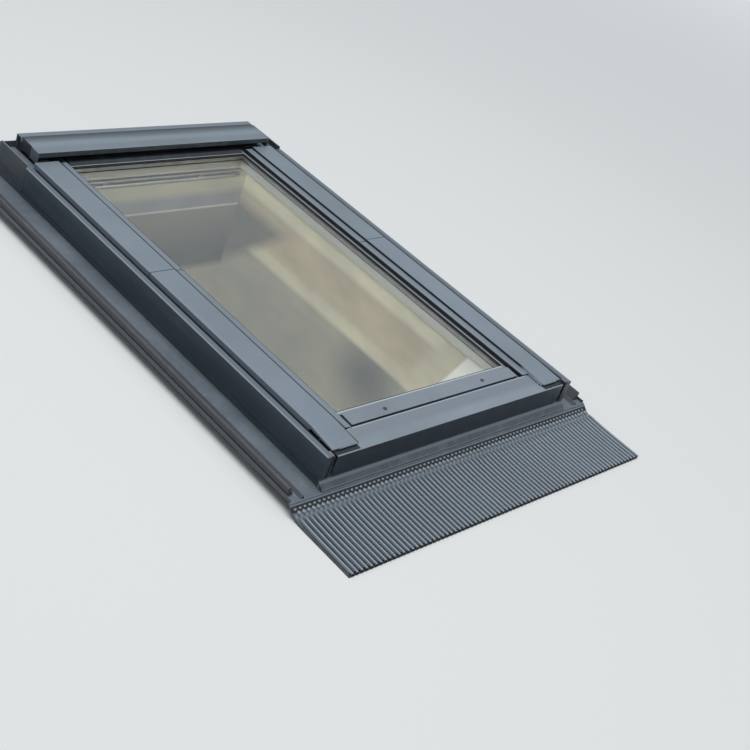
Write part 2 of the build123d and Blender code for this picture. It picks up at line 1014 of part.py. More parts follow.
screw_head_x = half_width + bracket_sheet
with BuildPart() as bracket_screws:
    for hand in (-1, 1):
        for bracket_place in (-bracket_y, bracket_y):
            for along in (-screw_spread, screw_spread):
                seat = Plane((hand * screw_head_x, bracket_place + along, screw_z), z_dir=(hand, 0, 0))
                with BuildSketch(seat):
                    Circle(screw_head_radius)
                extrude(amount=screw_head_height)
                with BuildSketch(seat):
                    Circle(screw_shank_radius)
                extrude(amount=-screw_length)
    head_rims = bracket_screws.edges().filter_by(GeomType.CIRCLE).filter_by(
        lambda edge: abs(abs(edge.center().X) - screw_head_x - screw_head_height) < match
    )
    fillet(head_rims, screw_head_round)
keep(bracket_screws.part, "bracket_screws")

# Weather seal: a round-nosed strip on each inner face of the frame, open at the hinges.


def seal_section(root, reach, floor):
    """Outline of the seal: flat on the timber, round towards the sash."""
    middle = floor + seal_height / 2
    with BuildLine() as outline:
        ThreePointArc((root, floor), (root + reach, middle), (root, floor + seal_height))
        Line((root, floor + seal_height), (root, floor))
    return outline.edges()


with BuildPart() as weather_seal:
    seal_stretches = (
        (opening_front, pivot_y - seal_pivot_gap),
        (pivot_y + seal_pivot_gap, opening_back),
    )
    for hand in (-1, 1):
        for start, end in seal_stretches:
            with BuildSketch(at_y(end)):
                make_face(seal_section(hand * opening_half, -hand * seal_depth, seal_floor))
            extrude(amount=end - start)
    cross_seal_half = opening_half - seal_depth - seal_corner_gap
    for root, reach, floor in (
        (opening_front, seal_depth, seal_front_floor),
        (opening_back, -seal_depth, seal_floor),
    ):
        with BuildSketch(at_x(-cross_seal_half)):
            make_face(seal_section(root, reach, floor))
        extrude(amount=2 * cross_seal_half)
keep(weather_seal.part, "weather_seal")

# Cover clips: Z-shaped spring clips between the timber or trim and the cover above.
cover_underside = cover_top - cover_sheet


def clips(inner, floor, places):
    """Clips of one kind, on both sides: a foot, a web and a head each."""
    middle = inner + clip_width / 2
    with BuildPart() as group:
        for distance in places:
            along = (up_slope(distance) - clip_length / 2, up_slope(distance) + clip_length / 2)
            block((inner, inner + clip_width), along, (floor, floor + clip_sheet))
            block((middle, middle + clip_sheet), along, (floor, cover_underside))
            block((inner, inner + clip_width), along, (cover_underside - clip_sheet, cover_underside))
        mirror(about=Plane.YZ)
    return group.part


keep(clips(frame_clip_x, frame_depth, frame_clip_places), "frame_cover_clips")
keep(clips(sash_clip_x, sash_top + trim_sheet, sash_clip_places), "sash_cover_clips")

# Ventilation flap under the top rail, with the control bar on its free edge.
flap_pivot_y = sash_back - flap_pivot_inset
flap_pivot_z = sash_underside - flap_pivot_drop
flap_front = flap_pivot_y - flap_depth
with BuildPart() as ventilation_flap:
    with BuildSketch(at_x(-flap_half)):
        with Locations(((flap_front + flap_pivot_y) / 2, flap_pivot_z)):
            SlotCenterToCenter(flap_depth, flap_thickness)
    extrude(amount=2 * flap_half)
    with BuildSketch(at_x(-flap_half - flap_pin_length)):
        with Locations((flap_pivot_y, flap_pivot_z)):
            Circle(flap_pin_radius)
    extrude(amount=2 * (flap_half + flap_pin_length))
keep(ventilation_flap.part, "ventilation_flap")

block_inner = flap_half + flap_block_gap
with BuildPart() as flap_blocks:
    with BuildSketch(at_x(block_inner)):
        with BuildLine():
            Polyline(
                (flap_pivot_y - flap_block_half, flap_pivot_z),
                (flap_pivot_y - flap_block_half, sash_underside),
                (flap_pivot_y + flap_block_half, sash_underside),
                (flap_pivot_y + flap_block_half, flap_pivot_z),
            )
            ThreePointArc(
                (flap_pivot_y + flap_block_half, flap_pivot_z),
                (flap_pivot_y, flap_pivot_z - flap_block_half),
                (flap_pivot_y - flap_block_half, flap_pivot_z),
            )
        make_face()
        with Locations((flap_pivot_y, flap_pivot_z)):
            Circle(flap_pin_radius + flap_pin_play, mode=Mode.SUBTRACT)
    extrude(amount=flap_block_width)
    mirror(about=Plane.YZ)
keep(flap_blocks.part, "flap_blocks")

bar_y = flap_front + bar_inset
bar_top = flap_pivot_z - flap_thickness / 2 - bar_post_height
with BuildPart() as control_bar:
    with BuildSketch(at_x(-bar_half)):
        with Locations((bar_y, bar_top - bar_height / 2)):
            SlotOverall(bar_width, bar_height)
    extrude(amount=2 * bar_half)
    for post_x in (-bar_post_spread, bar_post_spread):
        block(
            (post_x - bar_post_width / 2, post_x + bar_post_width / 2),
            (bar_y - bar_height / 2, bar_y + bar_height / 2),
            (bar_top - bar_height / 2, bar_top + bar_post_height),
        )
keep(control_bar.part, "control_bar")

# Latch case on the top rail and striker plate on the frame head.
latch_top = latch_floor + latch_height
with BuildPart() as latch_case:
    block((-latch_half, latch_half), (sash_back, sash_back + latch_thickness), (latch_floor, latch_top))
    fillet(latch_case.edges().filter_by(Axis.Y), latch_thickness)
keep(latch_case.part, "latch_case")

with BuildPart() as striker_plate:
    block(
        (-striker_half, striker_half),
        (opening_back - striker_thickness, opening_back),
        (latch_floor, latch_top),
    )
    fillet(striker_plate.edges().filter_by(Axis.Y), latch_thickness)
keep(striker_plate.part, "striker_plate")

# Barrel bolt under the right stile: case, bolt with its knob, and the bush in the frame.
with BuildPart() as bolt_case:
    block(
        (sash_half - bolt_case_length, sash_half),
        (bolt_y - bolt_case_width / 2, bolt_y + bolt_case_width / 2),
        (sash_underside - bolt_case_height, sash_underside),
    )
    fillet(bolt_case.edges().filter_by(Axis.X).group_by(Axis.Z)[0], bolt_case_round)
    with Locations(Plane((sash_half, bolt_y, bolt_z), z_dir=(1, 0, 0))):
        Hole(bolt_radius + bolt_play, bolt_case_length)
keep(bolt_case.part, "bolt_case")

bolt_nose = sash_half + bolt_nose_gap
with BuildPart() as barrel_bolt:
    with BuildSketch(at_x(bolt_nose - bolt_length)):
        with Locations((bolt_y, bolt_z)):
            Circle(bolt_radius)
    extrude(amount=bolt_length)
    with BuildSketch(at_x(bolt_nose - bolt_length - bolt_knob_length)):
        with Locations((bolt_y, bolt_z)):
            Circle(bolt_knob_radius)
    extrude(amount=bolt_knob_length)
    rims = barrel_bolt.edges().filter_by(GeomType.CIRCLE).sort_by(Axis.X)
    chamfer(rims[-1], bolt_nose_chamfer)
    chamfer(rims[0], bolt_knob_chamfer)
keep(barrel_bolt.part, "barrel_bolt")

with BuildPart() as bolt_bush:
    with BuildSketch(at_x(opening_half)):
        with Locations((bolt_y, bolt_z)):
            Circle(bush_radius)
            Circle(bolt_radius + bolt_play, mode=Mode.SUBTRACT)
    extrude(amount=bush_depth)
keep(bolt_bush.part, "bolt_bush")
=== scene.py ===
"""Looks of a centre-pivot roof window: finishes, pleated apron, crimped strip, floor, light and camera.

All sizes are in metres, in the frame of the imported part: +X to the right, +Y up the roof slope, +Z out of the roof.
"""

from __future__ import annotations

import logging
import math
from dataclasses import dataclass, field
from enum import Enum
from functools import cached_property, reduce
from typing import Any, ClassVar, Iterable

import bmesh
import bpy
from bpy.types import Material, Node, NodeSocket, NodeTree, Object
from mathutils import Matrix, Vector

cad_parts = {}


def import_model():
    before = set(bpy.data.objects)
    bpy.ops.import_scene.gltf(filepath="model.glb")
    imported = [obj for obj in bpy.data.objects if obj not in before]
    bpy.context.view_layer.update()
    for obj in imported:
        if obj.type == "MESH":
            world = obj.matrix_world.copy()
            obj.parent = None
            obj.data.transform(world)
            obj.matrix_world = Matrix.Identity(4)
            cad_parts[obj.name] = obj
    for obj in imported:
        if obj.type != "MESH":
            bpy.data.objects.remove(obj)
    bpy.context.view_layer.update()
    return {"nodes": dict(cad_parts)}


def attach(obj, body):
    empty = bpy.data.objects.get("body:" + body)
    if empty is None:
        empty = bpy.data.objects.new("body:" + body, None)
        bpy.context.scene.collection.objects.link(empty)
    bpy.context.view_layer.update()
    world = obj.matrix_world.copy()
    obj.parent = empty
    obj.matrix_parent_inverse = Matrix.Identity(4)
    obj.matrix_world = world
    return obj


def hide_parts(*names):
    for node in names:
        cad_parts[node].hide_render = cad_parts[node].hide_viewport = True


Pair = tuple[float, float]
Triple = tuple[float, float, float]
Colour = tuple[float, float, float]
Stops = tuple[tuple[float, Colour], ...]

log = logging.getLogger("roof_window")


class Direction(Enum):
    """The way in which a grain runs over a surface."""

    ACROSS = (1.0, 0.0, 0.0)
    ALONG_SLOPE = (0.0, 1.0, 0.0)

    def drawn_out(self, along: float, across: float) -> Triple:
        """Gives the scales of a texture that is drawn out this way."""
        return tuple(along if part else across for part in self.value)


class Measure(Enum):
    """The way in which the place of a stripe is measured."""

    ACROSS = "across"
    ALONG_SLOPE = "along slope"
    FROM_MIDDLE = "from middle"


@dataclass(frozen=True)
class Stripe:
    """A stripe of another tone, from one place to another, and within some distances from the middle."""

    near: float
    far: float
    colour: Colour
    soft: float = 0.0006
    within: Pair | None = None
    measure: Measure = Measure.ALONG_SLOPE


def both(name: str) -> tuple[str, str]:
    """Gives the names of a left and right pair of nodes."""
    return f"{name}_left", f"{name}_right"


def toned(colour: Colour, factor: float) -> Colour:
    """Gives a darker or lighter tone of a colour."""
    return tuple(part * factor for part in colour)


def put_in_scene(name: str, data: Any) -> Object:
    """Adds an object to the scene.

    Args:
        name: The object's name.
        data: Its mesh, lamp or camera.

    Returns:
        The object.
    """
    thing = bpy.data.objects.new(name, data)
    bpy.context.scene.collection.objects.link(thing)
    return thing


class NodeSheet:
    """Places the nodes of one shader or geometry tree and joins them."""

    def __init__(self, tree: NodeTree) -> None:
        """Keeps the tree that the nodes go into."""
        self.tree = tree

    def fill(self, node: Node, inputs: dict[Any, Any]) -> None:
        """Gives a node's inputs their values.

        Args:
            node: The node.
            inputs: Input names or numbers, each with a value, an output socket or a node whose first output is
                joined to it. A colour has three parts.
        """
        for name, value in inputs.items():
            socket = node.inputs[name]
            if isinstance(value, Node):
                value = value.outputs[0]
            if isinstance(value, NodeSocket):
                self.tree.links.new(value, socket)
            else:
                socket.default_value = (*value, 1.0) if socket.type == "RGBA" else value

    def add(self, kind: str, inputs: dict[Any, Any] | None = None, **settings: Any) -> Node:
        """Adds one node.

        Args:
            kind: The node's type name.
            inputs: What its inputs are filled with.
            settings: Properties of the node itself.

        Returns:
            The new node.
        """
        node = self.tree.nodes.new(kind)
        for name, value in settings.items():
            setattr(node, name, value)
        self.fill(node, inputs or {})
        return node

    def calc(self, operation: str, first: Any, second: Any = 0.0, third: Any = 0.0) -> NodeSocket:
        """Gives the result of a Math node."""
        return self.add("ShaderNodeMath", {0: first, 1: second, 2: third}, operation=operation).outputs[0]

    def product(self, value: Any, *factors: Any) -> NodeSocket:
        """Multiplies a value by its factors, one after the other."""
        return reduce(lambda so_far, factor: self.calc("MULTIPLY", so_far, factor), factors, value)

    def remap(self, value: Any, low: float, high: float, to_low: float = 0.0, to_high: float = 1.0) -> NodeSocket:
        """Stretches the values from low to high over those from to_low to to_high, and clamps the rest."""
        inputs = {"Value": value, "From Min": low, "From Max": high, "To Min": to_low, "To Max": to_high}
        return self.add("ShaderNodeMapRange", inputs).outputs[0]

    def between(self, value: Any, near: float, far: float, soft: float) -> NodeSocket:
        """Gives a mask for the values from near to far, which fades inside both limits."""
        return self.product(self.remap(value, near, near + soft), self.remap(value, far, far - soft))

    def blend(self, share: Any, first: Any, second: Any) -> NodeSocket:
        """Mixes two colours by the share of the second one."""
        return self.add("ShaderNodeMix", {0: share, 6: first, 7: second}, data_type="RGBA").outputs[2]

    def noise(self, place: Any, scale: Any, detail: float = 2.0, roughness: float = 0.5) -> NodeSocket:
        """Gives the value of a Noise Texture, from 0 to 1, with scale features in a metre."""
        inputs = {"Vector": place, "Scale": scale, "Detail": detail, "Roughness": roughness}
        return self.add("ShaderNodeTexNoise", inputs).outputs[0]

    def stretch(self, place: Any, scale: Any) -> NodeSocket:
        """Multiplies coordinates by a vector."""
        return self.add("ShaderNodeVectorMath", {0: place, 1: scale}, operation="MULTIPLY").outputs[0]

    def measure(self, operation: str, first: Any, second: Any = (0.0, 0.0, 0.0)) -> NodeSocket:
        """Gives the length, distance or dot product of vectors."""
        return self.add("ShaderNodeVectorMath", {0: first, 1: second}, operation=operation).outputs["Value"]

    def parts(self, vector: Any) -> Any:
        """Gives the X, Y and Z of a vector."""
        return self.add("ShaderNodeSeparateXYZ", {0: vector}).outputs

    def point(self, **parts: Any) -> Node:
        """Makes a vector from its X, Y and Z, of which those left out are 0."""
        return self.add("ShaderNodeCombineXYZ", parts)

    def ramp(self, value: Any, stops: Stops) -> NodeSocket:
        """Adds a Color Ramp.

        Args:
            value: The value that picks the colour.
            stops: Places from 0 to 1 with their colours.

        Returns:
            The colour.
        """
        node = self.add("ShaderNodeValToRGB", {0: value})
        elements = node.color_ramp.elements
        for index, (place, colour) in enumerate(stops):
            element = elements[index] if index < len(elements) else elements.new(place)
            element.position = place
            element.color = (*colour, 1.0)
        return node.outputs[0]


@dataclass
class SurfaceEffects:
    """Shader groups that several finishes share, each built once."""

    vectors: tuple[str, ...] = ("Place", "Facing", "Stretch", "Rounded")
    speck_fineness: float = 24.0
    blotch_share: float = 0.65
    speck_share: float = 0.45
    bevel_samples: int = 4
    coarse_share: float = 0.6
    fine_share: float = 0.4

    def start(self, name: str, inputs: Iterable[str], outputs: Iterable[str]) -> tuple[NodeSheet, Any, Node]:
        """Makes an empty group with its sockets.

        Args:
            name: The group's name.
            inputs: Names of its inputs, apart from Place.
            outputs: Names of its outputs.

        Returns:
            The sheet, the values that the group is given and its output node.
        """
        tree = bpy.data.node_groups.new(name, "ShaderNodeTree")
        for way, labels in (("INPUT", ("Place", *inputs)), ("OUTPUT", outputs)):
            for label in labels:
                kind = "NodeSocketVector" if label in self.vectors else "NodeSocketFloat"
                tree.interface.new_socket(label, in_out=way, socket_type=kind)
        sheet = NodeSheet(tree)
        return sheet, sheet.add("NodeGroupInput").outputs, sheet.add("NodeGroupOutput")

    @cached_property
    def sheet_skin(self) -> NodeTree:
        """The skin of lacquered sheet: a fine grain, a slow ripple and a change of tone.

        Returns:
            The group.
        """
        sheet, given, result = self.start("sheet_skin", ("Grain", "Ripple"), ("Tone", "Height"))
        place = given["Place"]
        grain = sheet.product(sheet.noise(place, scale=900.0), given["Grain"])
        ripple = sheet.product(sheet.noise(place, scale=11.0, detail=1.0), given["Ripple"])
        tone = sheet.remap(sheet.noise(place, scale=4.0, detail=5.0, roughness=0.6), low=0.3, high=0.7)
        sheet.fill(result, {"Tone": tone, "Height": sheet.calc("ADD", grain, ripple)})
        return sheet.tree

    @cached_property
    def settled_dust(self) -> NodeTree:
        """Dust in soft blotches and small specks on the faces that look up, and the mask of those faces.

        Returns:
            The group.
        """
        sheet, given, result = self.start("settled_dust", ("Facing", "Scale", "Amount"), ("Mask", "Upward"))
        place, scale = given["Place"], given["Scale"]
        upward = sheet.remap(sheet.parts(given["Facing"])["Z"], low=0.15, high=0.9)
        blotch = sheet.remap(sheet.noise(place, scale, detail=7.0, roughness=0.68), low=0.45, high=0.72)
        speck = sheet.remap(sheet.noise(place, sheet.product(scale, self.speck_fineness)), low=0.6, high=0.72)
        patches = sheet.product(blotch, self.blotch_share)
        cover = sheet.calc("ADD", patches, sheet.product(speck, self.speck_share))
        shown = sheet.product(cover, upward, given["Amount"])
        sheet.fill(result, {"Mask": sheet.calc("MINIMUM", shown, 1.0), "Upward": upward})
        return sheet.tree

    @cached_property
    def rain_marks(self) -> NodeTree:
        """Faint marks where water has run down and dried.

        Returns:
            The group.
        """
        sheet, given, result = self.start("rain_marks", ("Stretch", "Amount"), ("Mask",))
        drawn_out = sheet.stretch(given["Place"], given["Stretch"])
        streak = sheet.remap(sheet.noise(drawn_out, scale=1.0, detail=5.0, roughness=0.6), low=0.5, high=0.78)
        sheet.fill(result, {"Mask": sheet.product(streak, given["Amount"])})
        return sheet.tree

    @cached_property
    def worn_edge(self) -> NodeTree:
        """The light wear along folds, which with a high amount also stands in for painted highlights on them, and the
        normal that rounds them.

        Returns:
            The group.
        """
        sheet, given, result = self.start("worn_edge", ("Width", "Amount"), ("Mask", "Rounded"))
        rounded = sheet.add("ShaderNodeBevel", {"Radius": given["Width"]}, samples=self.bevel_samples)
        flat = sheet.add("ShaderNodeNewGeometry").outputs["Normal"]
        bend = sheet.remap(sheet.measure("DOT_PRODUCT", rounded, flat), low=0.995, high=0.82)
        patchy = sheet.remap(sheet.noise(given["Place"], scale=55.0, detail=4.0, roughness=0.7), low=0.42, high=0.66)
        sheet.fill(result, {"Mask": sheet.product(bend, patchy, given["Amount"]), "Rounded": rounded})
        return sheet.tree

    @cached_property
    def drawn_grain(self) -> NodeTree:
        """A grain drawn out one way, as in timber or brushed metal.

        Returns:
            The group.
        """
        sheet, given, result = self.start("drawn_grain", ("Stretch", "Fineness"), ("Tone", "Height"))
        drawn_out = sheet.stretch(given["Place"], given["Stretch"])
        coarse = sheet.noise(drawn_out, scale=1.0, detail=4.0, roughness=0.55)
        fine = sheet.noise(drawn_out, given["Fineness"])
        height = sheet.calc("ADD", sheet.product(coarse, self.coarse_share), sheet.product(fine, self.fine_share))
        sheet.fill(result, {"Tone": sheet.remap(coarse, low=0.3, high=0.7), "Height": height})
        return sheet.tree


class MaterialSheet(NodeSheet):
    """The sheet of one material, with its shader, its coordinates and the shared effects."""

    def __init__(self, name: str, colour: Colour, effects: SurfaceEffects) -> None:
        """Starts the material.

        Args:
            name: The material's name.
            colour: Its plain colour.
            effects: The shared shader groups.
        """
        self.material = bpy.data.materials.new(name)
        self.material.use_nodes = True
        self.material.diffuse_color = (*colour, 1.0)
        super().__init__(self.material.node_tree)
        self.effects = effects
        self.shader = self.tree.nodes["Principled BSDF"]
        coordinates = self.add("ShaderNodeTexCoord").outputs
        self.place, self.facing = coordinates["Object"], coordinates["Normal"]

    def effect(self, group: NodeTree, **inputs: Any) -> Any:
        """Gives the outputs of a shared effect at the surface's own place."""
        return self.add("ShaderNodeGroup", {"Place": self.place, **inputs}, node_tree=group).outputs

    def relief(self, height: Any, edge: Any, strength: float, depth: float) -> Node:
        """Makes the normal of fine relief on a surface with worn edges."""
        inputs = {"Height": height, "Normal": edge["Rounded"], "Strength": strength, "Distance": depth}
        return self.add("ShaderNodeBump", inputs)

    def striped(self, colour: Any, stripes: Iterable[Stripe]) -> Any:
        """Lays stripes over a colour.

        Args:
            colour: The colour so far.
            stripes: The stripes, each over those before it.

        Returns:
            The colour with its stripes.
        """
        across, along, _ = self.parts(self.place)
        outward = self.calc("ABSOLUTE", across)
        places = {Measure.ACROSS: across, Measure.ALONG_SLOPE: along, Measure.FROM_MIDDLE: outward}
        for stripe in stripes:
            mask = self.between(places[stripe.measure], stripe.near, stripe.far, stripe.soft)
            if stripe.within:
                mask = self.product(mask, self.between(outward, *stripe.within, stripe.soft))
            colour = self.blend(mask, colour, stripe.colour)
        return colour

    def clear_behind(self, surface: Node) -> None:
        """Lets the camera look through the back of a surface.

        Args:
            surface: The shader of the front.
        """
        behind = self.add("ShaderNodeNewGeometry").outputs["Backfacing"]
        seen = self.add("ShaderNodeLightPath").outputs["Is Camera Ray"]
        clear = self.add("ShaderNodeBsdfTransparent")
        mixed = self.add("ShaderNodeMixShader", {0: self.product(behind, seen), 1: surface, 2: clear})
        self.fill(self.tree.nodes["Material Output"], {"Surface": mixed})


@dataclass(frozen=True)
class Finish:
    """What every finish has: a name and a plain colour."""

    name: str
    colour: Colour
    casts_shadow: ClassVar[bool] = True

    def paint(self, sheet: MaterialSheet) -> None:
        """Fills the material's sheet, each finish in its own way."""
        raise NotImplementedError


@dataclass(frozen=True)
class LacqueredSheet(Finish):
    """Lacquered aluminium sheet that has stood in the weather, with painted light: a lighter tone on faces that look
    up.
    """

    lit_top_colour: Colour = (0.148, 0.178, 0.21)
    dust_colour: Colour = (0.25, 0.285, 0.315)
    wear_and_highlight_colour: Colour = (0.36, 0.4, 0.44)
    tones: Pair = (0.82, 1.16)
    top_tones: Pair = (0.86, 1.12)
    top_light_share: float = 0.9
    specular: float = 0.6
    roughness: float = 0.4
    dust_roughness: float = 0.3
    marks_roughness: float = 0.15
    dust: float = 0.3
    dust_scale: float = 9.0
    marks: float = 0.12
    marks_stretch: Triple = (42.0, 3.0, 42.0)
    wear: float = 0.5
    fold: float = 0.0008
    grain: float = 0.05
    ripple: float = 1.0
    relief: Pair = (0.35, 0.0012)
    stripes: tuple[Stripe, ...] = ()

    def shaded(self, sheet: MaterialSheet, colour: Any) -> Any:
        """Lays the sheet's stripes over its colour."""
        return sheet.striped(colour, self.stripes)

    def paint(self, sheet: MaterialSheet) -> None:
        """Lays lacquer, painted light on faces that look up, marks, dust, wear and stripes over one another.

        Args:
            sheet: The material's sheet.
        """
        effects = sheet.effects
        skin = sheet.effect(effects.sheet_skin, Grain=self.grain, Ripple=self.ripple)
        dust = sheet.effect(effects.settled_dust, Facing=sheet.facing, Scale=self.dust_scale, Amount=self.dust)
        marks = sheet.effect(effects.rain_marks, Stretch=self.marks_stretch, Amount=self.marks)
        edge = sheet.effect(effects.worn_edge, Width=self.fold, Amount=self.wear)
        lacquer = sheet.blend(skin["Tone"], *(toned(self.colour, factor) for factor in self.tones))
        # Painted light: faces that look up take a lighter copy of the lacquer, for the light that falls on them.
        lit_top_tone = sheet.blend(skin["Tone"], *(toned(self.lit_top_colour, factor) for factor in self.top_tones))
        with_lit_top = sheet.blend(sheet.product(dust["Upward"], self.top_light_share), lacquer, lit_top_tone)
        marked = sheet.blend(marks["Mask"], with_lit_top, self.dust_colour)
        dusty = sheet.blend(dust["Mask"], marked, self.dust_colour)
        # Light wear along the folds, which with a high wear also paints highlights along them.
        worn = sheet.blend(edge["Mask"], dusty, self.wear_and_highlight_colour)
        dulled = sheet.calc("MULTIPLY_ADD", dust["Mask"], self.dust_roughness, self.roughness)
        streaked = sheet.calc("MULTIPLY_ADD", marks["Mask"], self.marks_roughness, dulled)
        normal = sheet.relief(skin["Height"], edge, *self.relief)
        sheet.fill(sheet.shader, {"Base Color": self.shaded(sheet, worn), "Roughness": streaked, "Normal": normal})
        sheet.fill(sheet.shader, {"Specular IOR Level": self.specular})


@dataclass(frozen=True)
class PleatedSheet(LacqueredSheet):
    """Lacquered sheet in pleats, with painted shade in the valleys and painted highlights on the crests."""

    valley_shade_colour: Colour = (0.01, 0.012, 0.015)
    crest_highlight_colour: Colour = (0.33, 0.385, 0.44)
    underside_and_shade_colour: Colour = (0.006, 0.006, 0.007)
    shelf_colour: Colour = (0.086, 0.108, 0.132)
    valley: Pair = (0.15, -0.6)
    crest: Pair = (0.4, 1.0)
    crest_share: float = 0.65
    shelf: Pair = (-0.65, -0.6245)
    shelf_share: float = 0.85
    joint: Pair = (-0.6212, -0.6204)
    mouth: Pair = (-0.7808, -0.7828)
    mouth_valley: Pair = (0.55, 0.0)

    def shaded(self, sheet: MaterialSheet, colour: Any) -> Any:
        """Paints shade into the valleys and highlights onto the crests, and blackens the sticky underside and the
        shaded ends and joint.

        Args:
            sheet: The material's sheet.
            colour: The colour so far.

        Returns:
            The shaded colour.
        """
        ridge = sheet.add("ShaderNodeAttribute", attribute_name="ridge").outputs["Fac"]
        clouds = sheet.noise(sheet.place, scale=24.0, detail=4.0, roughness=0.6)
        patchy = sheet.remap(clouds, low=0.35, high=0.7, to_low=0.8)
        low = sheet.product(sheet.remap(ridge, *self.valley), patchy)
        high = sheet.product(sheet.remap(ridge, *self.crest), patchy)
        # Painted shade in the valleys and painted highlights on the crests.
        dark = sheet.blend(low, colour, self.valley_shade_colour)
        crest = sheet.blend(sheet.product(high, self.crest_share), dark, self.crest_highlight_colour)
        along = sheet.parts(sheet.place)["Y"]
        on_shelf = sheet.product(sheet.remap(along, *self.shelf), self.shelf_share)
        smooth = sheet.blend(on_shelf, crest, self.shelf_colour)
        # The underside is black like its sticky layer, which also stands in for the shade under the pleats; the front
        # edge, the valley ends at the bottom and the joint under the crimps are painted black as shade.
        facing = sheet.parts(sheet.facing)
        underside = sheet.remap(facing["Z"], low=0.0, high=-0.1)
        edge = sheet.calc("MAXIMUM", underside, sheet.remap(facing["Y"], low=-0.5, high=-0.8))
        valley_end = sheet.product(sheet.remap(along, *self.mouth), sheet.remap(ridge, *self.mouth_valley))
        in_joint = sheet.calc("MAXIMUM", edge, sheet.remap(along, *self.joint))
        return sheet.blend(sheet.calc("MAXIMUM", in_joint, valley_end), smooth, self.underside_and_shade_colour)


@dataclass(frozen=True)
class WindowGlass(Finish):
    """Clear float glass with dried rain spots."""

    casts_shadow: ClassVar[bool] = False
    spots: float = 0.12
    film: float = 0.4
    marks_stretch: Triple = (26.0, 5.0, 26.0)
    refraction: float = 1.5

    def paint(self, sheet: MaterialSheet) -> None:
        """Makes clear glass with a faint film and small dull dots.

        Args:
            sheet: The material's sheet.
        """
        marks = sheet.effect(sheet.effects.rain_marks, Stretch=self.marks_stretch, Amount=1.0)
        dots = sheet.remap(sheet.noise(sheet.place, scale=160.0, detail=3.0, roughness=0.6), low=0.66, high=0.74)
        film = sheet.product(marks["Mask"], self.spots * self.film)
        roughness = sheet.calc("MULTIPLY_ADD", dots, self.spots, film)
        sheet.fill(sheet.shader, {"Base Color": self.colour, "Roughness": roughness})
        sheet.fill(sheet.shader, {"IOR": self.refraction, "Transmission Weight": 1.0})


@dataclass(frozen=True)
class PaintedTimber(Finish):
    """Timber under satin paint, with the grain just showing and painted shade on the faces that lie under the covers.
    """

    run: Direction = Direction.ALONG_SLOPE
    grain: Pair = (4.0, 150.0)
    fineness: float = 4.0
    shade: float = 0.9
    fold: float = 0.0015
    wear: float = 0.3
    bare_colour: Colour = (0.55, 0.47, 0.36)
    roughness: float = 0.38
    grain_roughness: float = 0.12
    relief: Pair = (0.3, 0.0004)
    gap_shade_colour: Colour = (0.042, 0.051, 0.062)
    shade_half: float = 0.3893
    shade_front: float = -0.5853
    shade_top: float = 0.0835

    def paint(self, sheet: MaterialSheet) -> None:
        """Lays paint, wear and the painted shade under the covers over one another.

        Args:
            sheet: The material's sheet.
        """
        stretch = self.run.drawn_out(*self.grain)
        grain = sheet.effect(sheet.effects.drawn_grain, Stretch=stretch, Fineness=self.fineness)
        edge = sheet.effect(sheet.effects.worn_edge, Width=self.fold, Amount=self.wear)
        painted = sheet.blend(grain["Tone"], toned(self.colour, self.shade), self.colour)
        worn = sheet.blend(edge["Mask"], painted, self.bare_colour)
        # Painted shade: the outer, front and top faces, which lie in the shade under the covers, are dark.
        across, along, height = sheet.parts(sheet.place)
        beside = sheet.calc("GREATER_THAN", sheet.calc("ABSOLUTE", across), self.shade_half)
        before = sheet.calc("LESS_THAN", along, self.shade_front)
        above = sheet.calc("GREATER_THAN", height, self.shade_top)
        weather = sheet.calc("MAXIMUM", sheet.calc("MAXIMUM", beside, before), above)
        gap_shaded = sheet.blend(weather, worn, self.gap_shade_colour)
        gloss = sheet.calc("MULTIPLY_ADD", grain["Tone"], self.grain_roughness, self.roughness)
        normal = sheet.relief(grain["Height"], edge, *self.relief)
        sheet.fill(sheet.shader, {"Base Color": gap_shaded, "Roughness": gloss, "Normal": normal})


@dataclass(frozen=True)
class DrawnMetal(Finish):
    """Bare metal with a grain drawn out one way."""

    run: Direction = Direction.ACROSS
    grain: Pair = (12.0, 900.0)
    fineness: float = 3.0
    fold: float = 0.0005
    wear: float = 0.6
    tarnish_colour: Colour = (0.42, 0.43, 0.44)
    bright_colour: Colour = (0.82, 0.83, 0.84)
    roughness: float = 0.32
    grain_roughness: float = 0.14
    relief: Pair = (0.2, 0.0002)

    def paint(self, sheet: MaterialSheet) -> None:
        """Lays tarnish and bright edges over bare metal.

        Args:
            sheet: The material's sheet.
        """
        stretch = self.run.drawn_out(*self.grain)
        grain = sheet.effect(sheet.effects.drawn_grain, Stretch=stretch, Fineness=self.fineness)
        edge = sheet.effect(sheet.effects.worn_edge, Width=self.fold, Amount=self.wear)
        clouds = sheet.noise(sheet.place, scale=30.0, detail=4.0, roughness=0.6)
        dull = sheet.remap(clouds, low=0.4, high=0.75, to_high=0.6)
        aged = sheet.blend(dull, self.colour, self.tarnish_colour)
        bright = sheet.blend(edge["Mask"], aged, self.bright_colour)
        rough = sheet.calc("MULTIPLY_ADD", grain["Tone"], self.grain_roughness, self.roughness)
        normal = sheet.relief(grain["Height"], edge, *self.relief)
        sheet.fill(sheet.shader, {"Base Color": bright, "Roughness": rough, "Normal": normal, "Metallic": 1.0})


